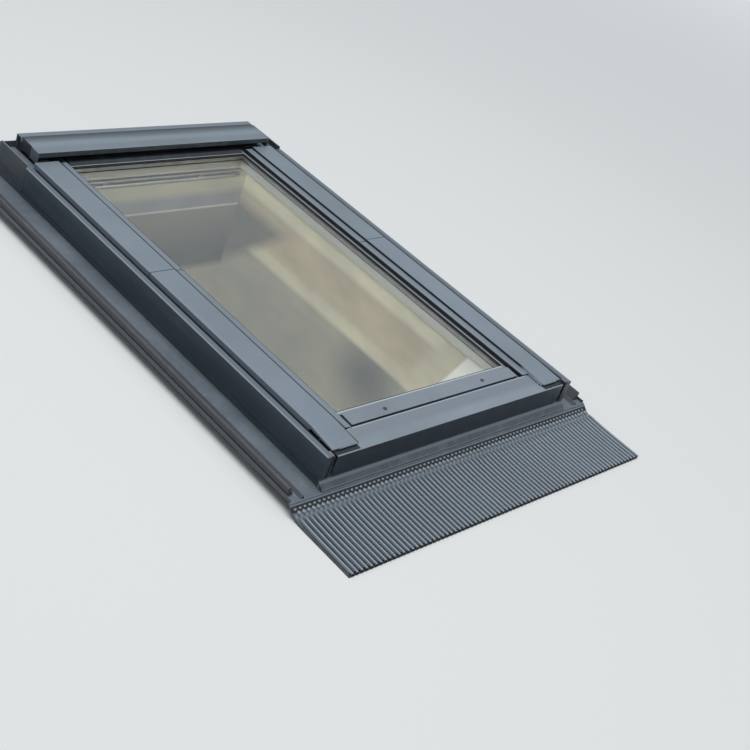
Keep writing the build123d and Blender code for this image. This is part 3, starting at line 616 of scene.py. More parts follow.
@dataclass(frozen=True)
class GrainedSolid(Finish):
    """Rubber, plastic or foam with a grain of its own size."""

    roughness: float = 0.6
    dust_roughness: float = 0.25
    grain: float = 1500.0
    depth: float = 0.0002
    strength: float = 0.4
    dust: float = 0.3
    dust_scale: float = 14.0
    dust_tone: Pair = (2.6, 0.05)
    fold: float = 0.0006
    wear: float = 0.2

    def paint(self, sheet: MaterialSheet) -> None:
        """Lays dust and pale edges over the plain colour.

        Args:
            sheet: The material's sheet.
        """
        effects = sheet.effects
        dust = sheet.effect(effects.settled_dust, Facing=sheet.facing, Scale=self.dust_scale, Amount=self.dust)
        edge = sheet.effect(effects.worn_edge, Width=self.fold, Amount=self.wear)
        factor, lift = self.dust_tone
        pale = tuple(min(1.0, part * factor + lift) for part in self.colour)
        worn = sheet.blend(edge["Mask"], sheet.blend(dust["Mask"], self.colour, pale), pale)
        rough = sheet.calc("MULTIPLY_ADD", dust["Mask"], self.dust_roughness, self.roughness)
        normal = sheet.relief(sheet.noise(sheet.place, self.grain), edge, self.strength, self.depth)
        sheet.fill(sheet.shader, {"Base Color": worn, "Roughness": rough, "Normal": normal})


CREAM: Colour = (0.58, 0.545, 0.375)
OCHRE: Colour = (0.385, 0.315, 0.19)
SAND: Colour = (0.46, 0.42, 0.285)
OLIVE: Colour = (0.21, 0.2, 0.145)
UMBER: Colour = (0.071, 0.066, 0.047)
DUSK: Colour = (0.02, 0.021, 0.018)


@dataclass(frozen=True)
class SlantedPatch:
    """A patch of the long walls: beyond a slanted edge and out to a height, each with its soft width."""

    slant: float
    edge: Pair
    heights: Pair
    colour: Colour


@dataclass(frozen=True)
class ShaftPlaster(Finish):
    """Painted lining of the shaft under the window, with the dim room below it, and light and shade painted onto it.
    """

    # Painted light and shade: these tones by depth stand in for how light falls down the shaft.
    side_stops: Stops = (
        (0.0, CREAM), (0.105, CREAM), (0.145, OCHRE), (0.38, OCHRE),
        (0.43, SAND), (0.48, SAND), (0.52, OLIVE), (1.0, OLIVE),
    )
    end_stops: Stops = (
        (0.0, (0.4, 0.37, 0.23)), (0.12, (0.33, 0.31, 0.21)), (0.18, (0.15, 0.15, 0.15)),
        (0.25, (0.14, 0.14, 0.145)), (0.26, (0.4, 0.42, 0.42)), (0.272, (0.12, 0.105, 0.07)),
        (0.45, UMBER), (0.6, DUSK), (0.72, DUSK), (0.78, OLIVE),
    )
    # Painted light and shade: a lighter panel, the head's shadow and a lit patch.
    panel: SlantedPatch = SlantedPatch(0.45, (-0.25, -0.285), (-0.21, -0.194), SAND)
    head_shadow: SlantedPatch = SlantedPatch(1.022, (0.225, 0.275), (-0.07, -0.11), UMBER)
    lit_patch: SlantedPatch = SlantedPatch(0.395, (-0.337, -0.345), (-0.19, -0.15), (0.8, 0.8, 0.775))
    dusk_colour: Colour = DUSK
    shade_spot: Triple = (-0.078, -0.258, 0.0)
    shade_spot_reach: Pair = (0.155, 0.02)
    shade_spot_heights: Pair = (-0.198, -0.206)
    shade_spot_share: float = 0.9
    middle: float = 0.0055
    end_reach: float = 0.54
    cloud_stretch: Triple = (1.0, 1.0, 1.8)
    cloud_share: float = 0.3
    depth: float = 0.4
    glow: float = 0.6
    roughness: float = 0.9

    def patched(self, sheet: MaterialSheet, tone: Any, patch: SlantedPatch) -> NodeSocket:
        """Lays one slanted patch over the long walls.

        Args:
            sheet: The material's sheet.
            tone: The colour so far.
            patch: The patch.

        Returns:
            The colour with the patch.
        """
        _, along, height = sheet.parts(sheet.place)
        beyond = sheet.remap(sheet.calc("MULTIPLY_ADD", height, patch.slant, along), *patch.edge)
        return sheet.blend(sheet.product(beyond, sheet.remap(height, *patch.heights)), tone, patch.colour)

    def paint(self, sheet: MaterialSheet) -> None:
        """Lays the tones of the walls by their depth, with their patches, faint clouds and a dim glow, which paint
        light and shade.

        Args:
            sheet: The material's sheet.
        """
        _, along, height = sheet.parts(sheet.place)
        depth = sheet.calc("DIVIDE", height, -self.depth)
        framed = self.patched(sheet, sheet.ramp(depth, self.side_stops), self.panel)
        # Painted shade: a dark patch low on the long walls, round the shade spot.
        away = sheet.measure("DISTANCE", sheet.point(X=along, Y=height), self.shade_spot)
        near = sheet.remap(away, *self.shade_spot_reach, to_high=self.shade_spot_share)
        inside = sheet.product(near, sheet.remap(height, *self.shade_spot_heights))
        dusky = self.patched(sheet, sheet.blend(inside, framed, self.dusk_colour), self.head_shadow)
        sides = self.patched(sheet, dusky, self.lit_patch)
        from_middle = sheet.calc("ABSOLUTE", sheet.calc("SUBTRACT", along, self.middle))
        at_end = sheet.calc("GREATER_THAN", from_middle, self.end_reach)
        tone = sheet.blend(at_end, sides, sheet.ramp(depth, self.end_stops))
        clouds = sheet.noise(sheet.stretch(sheet.place, self.cloud_stretch), scale=7.0, detail=3.0)
        cloud = sheet.remap(clouds, low=0.3, high=0.7, to_high=self.cloud_share)
        clouded = sheet.blend(cloud, tone, self.dusk_colour)
        sheet.fill(sheet.shader, {"Base Color": clouded, "Roughness": self.roughness})
        # Painted light: the lining glows with its own colour.
        sheet.fill(sheet.shader, {"Emission Color": clouded, "Emission Strength": self.glow})
        sheet.clear_behind(sheet.shader)


@dataclass(frozen=True)
class HazyFloor(Finish):
    """Matt floor that passes into the tone of the sky far away."""

    far_colour: Colour
    fade: Pair = (2.2, 6.5)
    roughness: float = 0.9

    def paint(self, sheet: MaterialSheet) -> None:
        """Mixes the floor with haze by its distance from the window.

        Args:
            sheet: The material's sheet.
        """
        sheet.fill(sheet.shader, {"Base Color": self.colour, "Roughness": self.roughness})
        haze = sheet.add("ShaderNodeEmission", {"Color": self.far_colour})
        share = sheet.remap(sheet.measure("LENGTH", sheet.place), *self.fade)
        sheet.clear_behind(sheet.add("ShaderNodeMixShader", {0: share, 1: sheet.shader, 2: haze}))


class Palette(dict[Finish, Material]):
    """The materials of the finishes, each built when it is first asked for."""

    def __init__(self) -> None:
        """Starts with no materials, and with the groups that they will share."""
        super().__init__()
        self.effects = SurfaceEffects()

    def __missing__(self, finish: Finish) -> Material:
        """Builds the material of a finish.

        Args:
            finish: The finish that is asked for the first time.

        Returns:
            The material.
        """
        sheet = MaterialSheet(finish.name, finish.colour, self.effects)
        finish.paint(sheet)
        self[finish] = sheet.material
        return sheet.material


BLACK_LINE: Colour = (0.006, 0.007, 0.008)
DARK_LINE: Colour = (0.035, 0.042, 0.05)
FAR_TONE: Colour = (0.72, 0.755, 0.775)

# The lacquered sheets are one grey lacquer in tones set part by part: lighter and darker copies, and many stripes,
# are painted light and shade.
CLADDING = LacqueredSheet(
    # wear=0.9 also paints highlights along the folds.
    "cladding_lacquer", (0.046, 0.06, 0.083), lit_top_colour=(0.165, 0.196, 0.23), wear=0.9, fold=0.0013,
    stripes=(
        # Painted shade on the inner part of the ledge, then a painted highlight on its outer edge.
        Stripe(0.376, 0.391, (0.12, 0.144, 0.172), 0.0025, measure=Measure.FROM_MIDDLE),
        Stripe(0.39, 0.3949, (0.215, 0.256, 0.298), 0.0012, measure=Measure.FROM_MIDDLE),
        # The plain lacquer again on the front end, to keep the ledge's painted light off it.
        Stripe(-0.5905, -0.5883, (0.046, 0.06, 0.083), 0.0003),
        # Painted shade: a black band for the gap at the front corner.
        Stripe(-0.5915, -0.5872, BLACK_LINE, 0.0002, (0.3742, 0.3825)),
    ),
)
BOTTOM_SHEET = LacqueredSheet(
    # Painted light and shade: very dark front faces and a light top.
    "bottom_lacquer", (0.022, 0.033, 0.042), lit_top_colour=(0.255, 0.302, 0.35),
    stripes=(
        # Painted shade: the top is darker from here up the slope.
        Stripe(-0.572, -0.5, (0.195, 0.228, 0.27), 0.016),
        # Painted highlight: a light line across the top.
        Stripe(-0.5362, -0.5335, (0.36, 0.41, 0.46), 0.0006, (-0.001, 0.28)),
        # Painted shadow under the tail ends of the side covers.
        Stripe(-0.5872, -0.573, BLACK_LINE, 0.001, (0.3005, 0.3675)),
    ),
)
BOTTOM_TRIM = LacqueredSheet(
    "bottom_trim_lacquer", (0.05, 0.062, 0.078), lit_top_colour=(0.235, 0.275, 0.322),
    # Painted highlight along the trim's edge at the glass.
    stripes=(Stripe(-0.4812, -0.4768, (0.5, 0.54, 0.56), 0.0014),),
)
TOP_TRIM = LacqueredSheet(
    # Painted shade: dark tones for the hood's shadow over the trim.
    "top_trim_lacquer", (0.018, 0.023, 0.03), lit_top_colour=(0.022, 0.028, 0.037), dust=0.15,
    marks=0.1, wear=0.3,
    stripes=(
        # Painted highlight along the edge at the glass, then painted shade as a black line beside it.
        Stripe(0.4988, 0.5016, (0.5, 0.55, 0.58)),
        Stripe(0.4965, 0.4992, BLACK_LINE),
    ),
)
SIDE_TRIM = LacqueredSheet(
    "side_trim_lacquer", (0.024, 0.029, 0.035), lit_top_colour=(0.04, 0.048, 0.058), dust=0.15,
    marks=0.1, wear=0.3,
    stripes=(
        # Painted highlight along the inner edge, then painted shade as a black line beside it.
        Stripe(0.2694, 0.2729, (0.48, 0.54, 0.6), measure=Measure.FROM_MIDDLE),
        Stripe(0.2675, 0.27, BLACK_LINE, measure=Measure.FROM_MIDDLE),
    ),
)
COVER_TOP = LacqueredSheet(
    # Painted light: the side faces are lighter than the tops, against their shade; wear=0.9 also paints highlights
    # along the folds.
    "cover_lacquer", (0.33, 0.405, 0.48), lit_top_colour=(0.185, 0.222, 0.26), roughness=0.36,
    dust=0.35, wear=0.9, fold=0.0013,
    stripes=(
        # Painted highlight along the left cover's outer fold.
        Stripe(-0.3688, -0.356, (0.212, 0.254, 0.297), 0.004, measure=Measure.ACROSS),
        # Painted shade at the foot of the left cover's step.
        Stripe(-0.302, -0.2912, DARK_LINE, measure=Measure.ACROSS),
        # Painted shade: black lines on the right cover, at its step and at its inner edge.
        Stripe(0.3004, 0.3032, BLACK_LINE, measure=Measure.ACROSS),
        Stripe(0.2774, 0.2804, BLACK_LINE, measure=Measure.ACROSS),
        Stripe(0.0386, 0.0414, DARK_LINE),
    ),
)
HOOD_SHEET = LacqueredSheet(
    "hood_lacquer", (0.038, 0.051, 0.065), lit_top_colour=(0.19, 0.228, 0.268), roughness=0.36,
    dust=0.35, wear=0.7,
    stripes=(
        # Painted light and shade on the hood's rounded back: a lighter band, then darker towards the end.
        Stripe(0.532, 0.562, (0.215, 0.258, 0.303), 0.012),
        Stripe(0.557, 0.63, (0.06, 0.075, 0.091), 0.021),
    ),
)
HOOD_END = LacqueredSheet(
    "hood_end_lacquer", (0.12, 0.137, 0.152), roughness=0.5, dust=0.45, marks=0.3,
    # Painted shade: the rear part behind the step is darker.
    stripes=(Stripe(0.5415, 0.6, (0.03, 0.034, 0.045)),),
)
FLASHING = LacqueredSheet(
    "flashing_lacquer", (0.062, 0.074, 0.088), lit_top_colour=(0.125, 0.15, 0.176), roughness=0.5,
    dust=0.6, dust_scale=6.0, marks=0.3, ripple=1.6,
    # Painted highlight on the head flashing's bead behind the hood.
    stripes=(Stripe(0.586, 0.607, (0.18, 0.214, 0.25), 0.0008, (-0.001, 0.357)),),
)
SILL_SHEET = LacqueredSheet(
    "sill_lacquer", (0.062, 0.076, 0.094), lit_top_colour=(0.074, 0.089, 0.108), roughness=0.48,
    dust=0.4, dust_scale=8.0, marks=0.3, wear=0.0, ripple=1.4,
    stripes=(
        # Painted highlight on the upper fold.
        Stripe(-0.596, -0.5885, (0.17, 0.198, 0.228), 0.0028),
        # Painted light on the riser, against its shade.
        Stripe(-0.6064, -0.6036, (0.15, 0.175, 0.2), 0.0004),
        # Painted highlight on the lip above the crimps.
        Stripe(-0.6104, -0.6082, (0.19, 0.223, 0.256), 0.0006),
        # Painted shadow between and below the crimps.
        Stripe(-0.62, -0.6102, BLACK_LINE, 0.0005),
    ),
)
CRIMP_SHEET = LacqueredSheet(
    # Painted light: a lighter copy of the sill's lacquer, for light on the knobs.
    "crimp_lacquer", (0.14, 0.165, 0.19), lit_top_colour=(0.27, 0.315, 0.36), dust=0.2, marks=0.1, ripple=0.2
)
PLEATED = PleatedSheet(
    "pleated_lacquer", (0.12, 0.146, 0.176), lit_top_colour=(0.185, 0.225, 0.27), dust_scale=7.0, marks=0.1, wear=0.1
)
GLASS = WindowGlass("float_glass", (0.98, 0.992, 0.985))
STILE_PAINT = PaintedTimber("painted_timber_along", (0.84, 0.83, 0.79))
RAIL_PAINT = PaintedTimber("painted_timber_across", (0.84, 0.83, 0.79), run=Direction.ACROSS)
SPACER_METAL = DrawnMetal("spacer_metal", (0.72, 0.73, 0.74), roughness=0.45)
BAR_METAL = DrawnMetal("anodised_bar", (0.74, 0.74, 0.74))
ZINC_STEEL = DrawnMetal("zinc_plated_steel", (0.6, 0.61, 0.62), run=Direction.ALONG_SLOPE, roughness=0.36)
RUBBER = GrainedSolid("black_rubber", (0.022, 0.022, 0.024), roughness=0.62)
PLASTIC = GrainedSolid("dark_plastic", (0.045, 0.05, 0.056), roughness=0.5)
FOAM = GrainedSolid("open_foam", (0.09, 0.09, 0.095), roughness=0.9, grain=420.0, depth=0.0015)
PLASTER = ShaftPlaster("cream_plaster", CREAM)
PALE_FLOOR = HazyFloor("pale_floor", (0.8, 0.8, 0.79), FAR_TONE)


@dataclass
class GeometryRecipe:
    """A Geometry Nodes tree that makes a piece from named values."""

    name: str
    inputs: dict[str, Any]

    def __post_init__(self) -> None:
        """Makes the tree with its sockets."""
        self.tree = bpy.data.node_groups.new(self.name, "GeometryNodeTree")
        self.tree.interface.new_socket("Geometry", in_out="OUTPUT", socket_type="NodeSocketGeometry")
        kinds = {float: "NodeSocketFloat", int: "NodeSocketInt"}
        self.identifiers = {}
        for label, value in self.inputs.items():
            kind = kinds.get(type(value), "NodeSocketMaterial")
            socket = self.tree.interface.new_socket(label, in_out="INPUT", socket_type=kind)
            self.identifiers[label] = socket.identifier
        self.sheet = NodeSheet(self.tree)
        self.given = self.sheet.add("NodeGroupInput").outputs
        self.result = self.sheet.add("NodeGroupOutput")

    def close(self, pieces: Iterable[Node]) -> None:
        """Ends the tree in real meshes with their finish.

        Args:
            pieces: The nodes that make the geometry.
        """
        joined = self.sheet.add("GeometryNodeJoinGeometry")
        for piece in pieces:
            self.sheet.fill(joined, {0: piece})
        real = self.sheet.add("GeometryNodeRealizeInstances", {"Geometry": joined})
        dressed = {"Geometry": real, "Material": self.given["Finish"]}
        self.sheet.fill(self.result, {"Geometry": self.sheet.add("GeometryNodeSetMaterial", dressed)})

    def make(self, name: str, thickness: float = 0.0) -> Object:
        """Runs the tree and gives the result as a plain object, with no modifiers left.

        Args:
            name: The name of the piece.
            thickness: Thickness of the sheet below its surface, or 0 for none.

        Returns:
            The plain object.
        """
        carrier = put_in_scene(f"{name}_carrier", bpy.data.meshes.new(f"{name}_carrier"))
        modifier = carrier.modifiers.new(self.name, "NODES")
        modifier.node_group = self.tree
        for label, value in self.inputs.items():
            modifier[self.identifiers[label]] = value
        if thickness:
            wall = carrier.modifiers.new("sheet", "SOLIDIFY")
            wall.thickness = thickness
            wall.offset = -1.0
        bpy.context.view_layer.update()
        evaluated = carrier.evaluated_get(bpy.context.evaluated_depsgraph_get())
        mesh = bpy.data.meshes.new_from_object(evaluated)
        mesh.name = name
        carrier.modifiers.clear()
        bpy.data.objects.remove(carrier)
        return put_in_scene(name, mesh)


@dataclass
class PleatedApron:
    """The pleated sheet below the window, which follows the roof covering."""

    width: float = 0.9564
    top_edge: float = -0.6193
    bottom_edge: float = -0.788
    high: float = 0.0125
    low: float = 0.0052
    pitch: float = 0.0126
    crest: float = 0.0078
    height: float = 0.0078
    sheet: float = 0.0009
    softness: float = 1.7
    seal: float = 0.03
    seal_height: float = 0.00095
    steps_in_pleat: int = 10
    rows: int = 18
    crowding: float = 1.6
    fold_degrees: float = 50.0
    drop: tuple[Pair, ...] = ((0.0, 1.0), (0.0812, 0.56), (0.3895, 0.133), (1.0, 0.0))
    swell: tuple[Pair, ...] = ((0.0, 0.0), (0.03, 0.03), (0.16, 1.0), (1.0, 1.0))

    def profile(self, sheet: NodeSheet, share: NodeSocket, points: tuple[Pair, ...]) -> NodeSocket:
        """Adds a curve that turns a share of the reach into a height share.

        Args:
            sheet: The sheet of the tree.
            share: Share of the way down the apron.
            points: Points of the curve.

        Returns:
            The curve's value.
        """
        node = sheet.add("ShaderNodeFloatCurve", {"Value": share})
        line = node.mapping.curves[0]
        line.points[0].location, line.points[-1].location = points[0], points[-1]
        for along, up in points[1:-1]:
            line.points.new(along, up)
        for point in line.points:
            point.handle_type = "AUTO_CLAMPED"
        node.mapping.update()
        return node.outputs[0]

    def marked(self, sheet: NodeSheet, geometry: Node, ridge: Any) -> Node:
        """Stores for the finish where the crests (1) and the valleys (-1) are."""
        inputs = {"Geometry": geometry, "Name": "ridge", "Value": ridge}
        return sheet.add("GeometryNodeStoreNamedAttribute", inputs, data_type="FLOAT", domain="POINT")

    def recipe(self, finish: Material) -> GeometryRecipe:
        """Makes the tree of the pleats.

        Args:
            finish: The sheet's material.

        Returns:
            The recipe.
        """
        inputs = {
            "Width": self.width, "Reach": self.top_edge - self.bottom_edge,
            "Middle": (self.top_edge + self.bottom_edge) / 2, "Low": self.low, "Drop": self.high - self.low,
            "Pitch": self.pitch, "Crest": self.crest, "Pleat Height": self.height,
            "Seal": self.seal, "Seal Middle": self.bottom_edge + self.seal / 2, "Softness": self.softness,
            "Steps": round(self.width / self.pitch) * self.steps_in_pleat + 1, "Rows": self.rows,
            "Finish": finish,
        }
        recipe = GeometryRecipe("pleated_sheet", inputs)
        sheet, given = recipe.sheet, recipe.given
        names = {"Size X": "Width", "Size Y": "Reach", "Vertices X": "Steps", "Vertices Y": "Rows"}
        grid = sheet.add("GeometryNodeMeshGrid", {name: given[source] for name, source in names.items()})
        place = sheet.parts(sheet.add("GeometryNodeInputPosition"))
        along = sheet.calc("SUBTRACT", 0.5, sheet.calc("DIVIDE", place["Y"], given["Reach"]))
        eased = sheet.calc("POWER", along, self.crowding)
        half = sheet.product(given["Width"], 0.5)
        from_crest = sheet.calc("SUBTRACT", sheet.calc("ADD", place["X"], half), given["Crest"])
        turn = sheet.product(sheet.calc("DIVIDE", from_crest, given["Pitch"]), math.tau)
        swing = sheet.product(sheet.calc("COSINE", turn), given["Softness"])
        wave = sheet.calc("DIVIDE", sheet.calc("TANH", swing), sheet.calc("TANH", given["Softness"]))
        grown = self.profile(sheet, eased, self.swell)
        ridge = sheet.product(wave, given["Pleat Height"], 0.5, grown)
        fall = sheet.calc("MULTIPLY_ADD", self.profile(sheet, eased, self.drop), given["Drop"], given["Low"])
        top = sheet.calc("SUBTRACT", given["Middle"], sheet.product(given["Reach"], -0.5))
        up_slope = sheet.calc("SUBTRACT", top, sheet.product(given["Reach"], eased))
        moved = sheet.point(X=place["X"], Y=up_slope, Z=sheet.calc("ADD", fall, ridge))
        pleats = self.marked(sheet, grid, sheet.product(wave, grown))
        shaped = sheet.add("GeometryNodeSetPosition", {"Geometry": pleats, "Position": moved})
        sizes = {"Size X": given["Width"], "Size Y": given["Seal"], "Vertices X": 2, "Vertices Y": 2}
        strip = self.marked(sheet, sheet.add("GeometryNodeMeshGrid", sizes), -1.0)
        seat = sheet.point(Y=given["Seal Middle"], Z=self.seal_height)
        recipe.close((shaped, sheet.add("GeometryNodeTransform", {"Geometry": strip, "Translation": seat})))
        return recipe

    def build(self, palette: Palette) -> None:
        """Builds the pleated sheet.

        Args:
            palette: The finishes.
        """
        apron = self.recipe(palette[PLEATED]).make("apron_pleats", self.sheet)
        for polygon in apron.data.polygons:
            polygon.use_smooth = True
        apron.data.set_sharp_from_angle(angle=math.radians(self.fold_degrees))
        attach(apron, "frame")
        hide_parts("pleated_apron")
        log.info("pleated apron: %d faces", len(apron.data.polygons))


@dataclass(frozen=True)
class CrimpRow:
    """A row of crimps: place up the slope and out of the roof, shift in pitches, lean in degrees, half sizes."""

    along: float
    height: float
    shift: float
    lean: float
    crimp: Triple


@dataclass
class CrimpedStrip:
    """Two staggered rows of crimps where the apron joins the sill of the flashing."""

    pitch: float = 0.0126
    count: int = 75
    segments: int = 8
    rings: int = 6
    rows: tuple[CrimpRow, ...] = (
        CrimpRow(-0.6156, 0.0161, -0.25, 39.2, (0.0041, 0.0031, 0.0021)),
        CrimpRow(-0.6226, 0.0119, 0.25, 20.0, (0.0044, 0.0052, 0.0018)),
    )

    def build(self, palette: Palette) -> None:
        """Builds both rows.

        Args:
            palette: The finishes.
        """
        inputs = {"Count": self.count, "Pitch": self.pitch, "Finish": palette[CRIMP_SHEET]}
        recipe = GeometryRecipe("crimp_rows", inputs)
        sheet, given = recipe.sheet, recipe.given
        sizes = {"Segments": self.segments, "Rings": self.rings, "Radius": 1.0}
        knob = sheet.add("GeometryNodeMeshUVSphere", sizes)
        smooth = sheet.add("GeometryNodeSetShadeSmooth", {"Geometry": knob})
        reach = sheet.product(sheet.calc("SUBTRACT", given["Count"], 1.0), given["Pitch"])
        left = sheet.product(reach, -0.5)
        step = sheet.point(X=given["Pitch"])
        lines = []
        for row in self.rows:
            begin = sheet.calc("MULTIPLY_ADD", given["Pitch"], row.shift, left)
            start = sheet.point(X=begin, Y=row.along, Z=row.height)
            line = {"Count": given["Count"], "Start Location": start, "Offset": step}
            places = {"Points": sheet.add("GeometryNodeMeshLine", line), "Instance": smooth}
            turn = {"Rotation": (math.radians(row.lean), 0.0, 0.0), "Scale": row.crimp}
            lines.append(sheet.add("GeometryNodeInstanceOnPoints", {**places, **turn}))
        recipe.close(lines)
        crimps = recipe.make("sill_crimps")
        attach(crimps, "frame")
        log.info("crimps: %d faces", len(crimps.data.polygons))


Dressing = tuple[tuple[Finish, tuple[str, ...]], ...]


@dataclass
class Assembly:
    """A sub-assembly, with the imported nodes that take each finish."""

    dressed: Dressing = ()

    def dress(self, nodes: dict[str, Object], palette: Palette) -> None:
        """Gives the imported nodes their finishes.

        Args:
            nodes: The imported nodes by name.
            palette: The finishes.
        """
        for finish, names in self.dressed:
            for name in names:
                node = nodes[name]
                node.data.materials.clear()
                node.data.materials.append(palette[finish])
                node.visible_shadow = finish.casts_shadow
                log.info("node %s takes %s", name, finish.name)

    def build(self, palette: Palette) -> None:
        """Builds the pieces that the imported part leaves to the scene, of which most assemblies have none."""


@dataclass
class FrameAndCovers(Assembly):
    """The fixed frame with its cladding, covers, hood, hinge shoes and brackets."""

    dressed: Dressing = (
        (STILE_PAINT, both("frame_side")),
        (RAIL_PAINT, ("frame_head", "frame_sill")),
        (CLADDING, (*both("side_cladding"), *both("side_cladding_head"))),
        (BOTTOM_SHEET, ("bottom_cover",)),
        (COVER_TOP, both("side_cover_upper")),
        (HOOD_SHEET, ("hood",)),
        (HOOD_END, both("hood_end")),
        (PLASTIC, ("insect_screen",)),
        (RUBBER, ("weather_seal",)),
        (ZINC_STEEL, (*both("fixing_bracket_front"), *both("fixing_bracket_back"), "bracket_screws")),
        (ZINC_STEEL, (*both("hinge_shoe"), "frame_cover_clips", "striker_plate", "bolt_bush")),
    )


@dataclass
class SashAndGlass(Assembly):
    """The turning sash with its trims, covers, glass unit and hinge rails."""

    dressed: Dressing = (
        (STILE_PAINT, both("sash_stile")),
        (RAIL_PAINT, ("sash_top_rail", "sash_bottom_rail")),
        (COVER_TOP, both("side_cover_lower")),
        (SIDE_TRIM, both("side_trim")),
        (BOTTOM_TRIM, ("bottom_trim",)),
        (TOP_TRIM, ("top_trim",)),
        (PLASTIC, ("trim_plugs", "flap_blocks")),
        (RUBBER, ("glazing_gasket", "bedding_tape")),
        (SPACER_METAL, ("glass_spacer",)),
        (ZINC_STEEL, (*both("hinge_rail"), "latch_case", "bolt_case", "sash_cover_clips")),
        (GLASS, ("inner_pane", "outer_pane")),
    )


@dataclass
class Ventilation(Assembly):
    """The flap with its control bar, and the bolt that holds the turned sash."""

    dressed: Dressing = (
        (BAR_METAL, ("ventilation_flap", "control_bar")),
        (ZINC_STEEL, ("barrel_bolt",)),
    )


@dataclass
class Flashing(Assembly):
    """The flashing round the window: sill, apron, gutters, head piece, corner plates and foam."""

    dressed: Dressing = (
        (FLASHING, ("head_flashing", *both("side_flashing"), *both("head_corner"))),
        (SILL_SHEET, ("flashing_sill",)),
        (FOAM, ("foam_strips",)),
    )
    apron: PleatedApron = field(default_factory=PleatedApron)
    crimps: CrimpedStrip = field(default_factory=CrimpedStrip)

    def build(self, palette: Palette) -> None:
        """Builds the apron and the crimps."""
        self.apron.build(palette)
        self.crimps.build(palette)


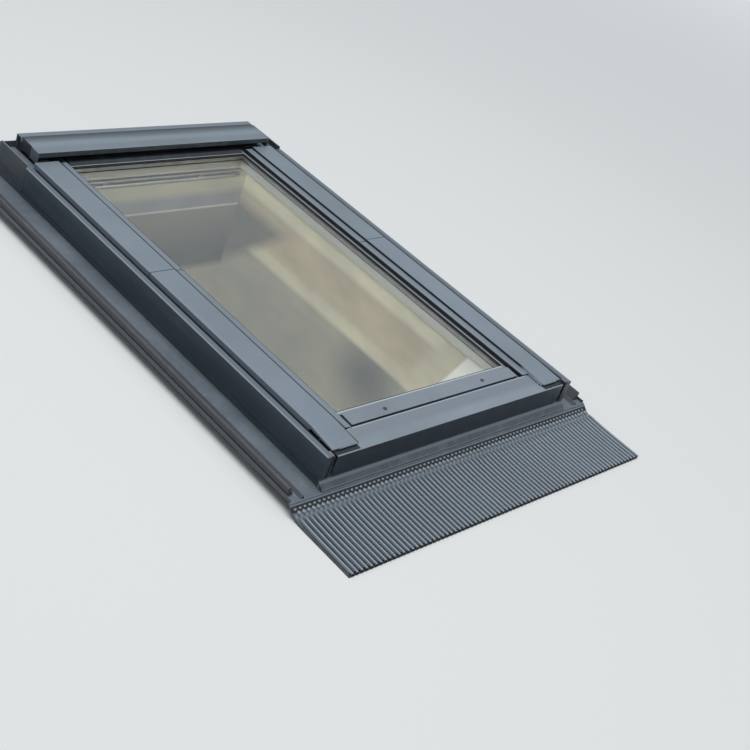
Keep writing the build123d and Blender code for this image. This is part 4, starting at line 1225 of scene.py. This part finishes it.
@dataclass
class Studio:
    """A plain pale floor with a lined shaft under the window, a soft lamp and a pale sky."""

    reach: float = 14.0
    half_width: float = 0.352
    front: float = -0.536
    back: float = 0.547
    depth: float = 0.8
    weld: float = 1e-5
    sky_tones: tuple[Colour, Colour] = ((0.4, 0.43, 0.46), (0.9, 0.955, 1.0))
    sky_heights: Pair = (0.4, 0.9)
    sky_light: float = 0.55
    lamp_place: Triple = (-0.9, -0.3, 6.4)
    lamp_aim: Triple = (0.0, 0.0, 0.05)
    lamp_size: float = 4.5
    lamp_watts: float = 270.0
    lamp_colour: Colour = (0.97, 0.99, 1.0)

    def surface(self, name: str, quads: Iterable[Iterable[Triple]], material: Material) -> None:
        """Adds one piece of the stage.

        Args:
            name: Its name.
            quads: Corner points of its faces.
            material: Its material.
        """
        form = bmesh.new()
        for quad in quads:
            form.faces.new([form.verts.new(corner) for corner in quad])
        bmesh.ops.remove_doubles(form, verts=form.verts, dist=self.weld)
        mesh = bpy.data.meshes.new(name)
        form.to_mesh(mesh)
        form.free()
        mesh.materials.append(material)
        put_in_scene(name, mesh)

    def build_floor(self, palette: Palette) -> None:
        """Builds the floor round the shaft, and the shaft's lining.

        Args:
            palette: The finishes.
        """
        far, left, right = self.reach, -self.half_width, self.half_width
        front, back, low = self.front, self.back, -self.depth
        sides = ((-far, front, left, back), (right, front, far, back))
        limits = ((-far, -far, far, front), (-far, back, far, far), *sides)
        ring = [((x, y, 0), (to_x, y, 0), (to_x, to_y, 0), (x, to_y, 0)) for x, y, to_x, to_y in limits]
        self.surface("floor", ring, palette[PALE_FLOOR])
        corners = [(left, front), (right, front), (right, back), (left, back)]
        walls = zip(corners, corners[1:] + corners[:1])
        lining = [((*begin, 0), (*end, 0), (*end, low), (*begin, low)) for begin, end in walls]
        bottom = [(*corner, low) for corner in corners]
        self.surface("shaft_lining", [*lining, bottom], palette[PLASTER])

    def build_sky(self) -> None:
        """Builds a pale sky that the camera sees in one tone."""
        world = bpy.data.worlds.new("pale_sky")
        bpy.context.scene.world = world
        world.use_nodes = True
        world.node_tree.nodes.clear()
        sheet = NodeSheet(world.node_tree)
        rays = sheet.add("ShaderNodeLightPath").outputs
        seen = sheet.calc("ADD", rays["Is Camera Ray"], rays["Is Glossy Ray"])
        shown = sheet.calc("MINIMUM", sheet.calc("ADD", seen, rays["Is Transmission Ray"]), 1.0)
        strength = sheet.remap(shown, low=0.0, high=1.0, to_low=self.sky_light)
        height = sheet.parts(sheet.add("ShaderNodeTexCoord").outputs["Generated"])["Z"]
        overcast = sheet.blend(sheet.remap(height, *self.sky_heights), *self.sky_tones)
        colour = sheet.blend(rays["Is Camera Ray"], overcast, FAR_TONE)
        sky = sheet.add("ShaderNodeBackground", {"Color": colour, "Strength": strength})
        sheet.add("ShaderNodeOutputWorld", {"Surface": sky})

    def build_lamp(self) -> None:
        """Hangs a square soft lamp that points at the window."""
        light = bpy.data.lights.new("overhead_softbox", "AREA")
        light.size = self.lamp_size
        light.energy = self.lamp_watts
        light.color = self.lamp_colour
        lamp = put_in_scene("overhead_softbox", light)
        lamp.location = self.lamp_place
        aim = Vector(self.lamp_aim) - Vector(self.lamp_place)
        lamp.rotation_euler = aim.to_track_quat("-Z", "Y").to_euler()


@dataclass(frozen=True)
class Viewpoint:
    """The camera, placed as the photograph was taken."""

    place: Triple = (-2.0092, -1.7270, 1.4887)
    forward: Triple = (0.7068, 0.486, -0.514)
    right: Triple = (0.6842, -0.6541, 0.3224)
    focal_pixels: float = 1286.0
    image_pixels: float = 750.0
    sensor: float = 36.0
    sight: float = 100.0

    def build(self) -> None:
        """Builds the camera and makes it the scene's own."""
        lens = bpy.data.cameras.new("viewpoint")
        lens.sensor_width = self.sensor
        lens.lens = self.focal_pixels / self.image_pixels * self.sensor
        lens.clip_end = self.sight
        backward = -Vector(self.forward).normalized()
        right = Vector(self.right)
        right = (right - backward * right.dot(backward)).normalized()
        turn = Matrix((right, backward.cross(right), backward)).transposed().to_4x4()
        camera = put_in_scene("viewpoint", lens)
        camera.matrix_world = Matrix.Translation(self.place) @ turn
        bpy.context.scene.camera = camera


def main() -> None:
    """Builds the roof window's looks and its studio."""
    logging.basicConfig(level=logging.INFO, format="%(message)s")
    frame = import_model()
    palette = Palette()
    for assembly in (FrameAndCovers(), SashAndGlass(), Ventilation(), Flashing()):
        assembly.dress(frame["nodes"], palette)
        assembly.build(palette)
        log.info("%s done", type(assembly).__name__)
    studio = Studio()
    studio.build_floor(palette)
    studio.build_sky()
    studio.build_lamp()
    Viewpoint().build()
    bpy.context.scene.view_settings.view_transform = "Standard"


if __name__ == "__main__":
    main()
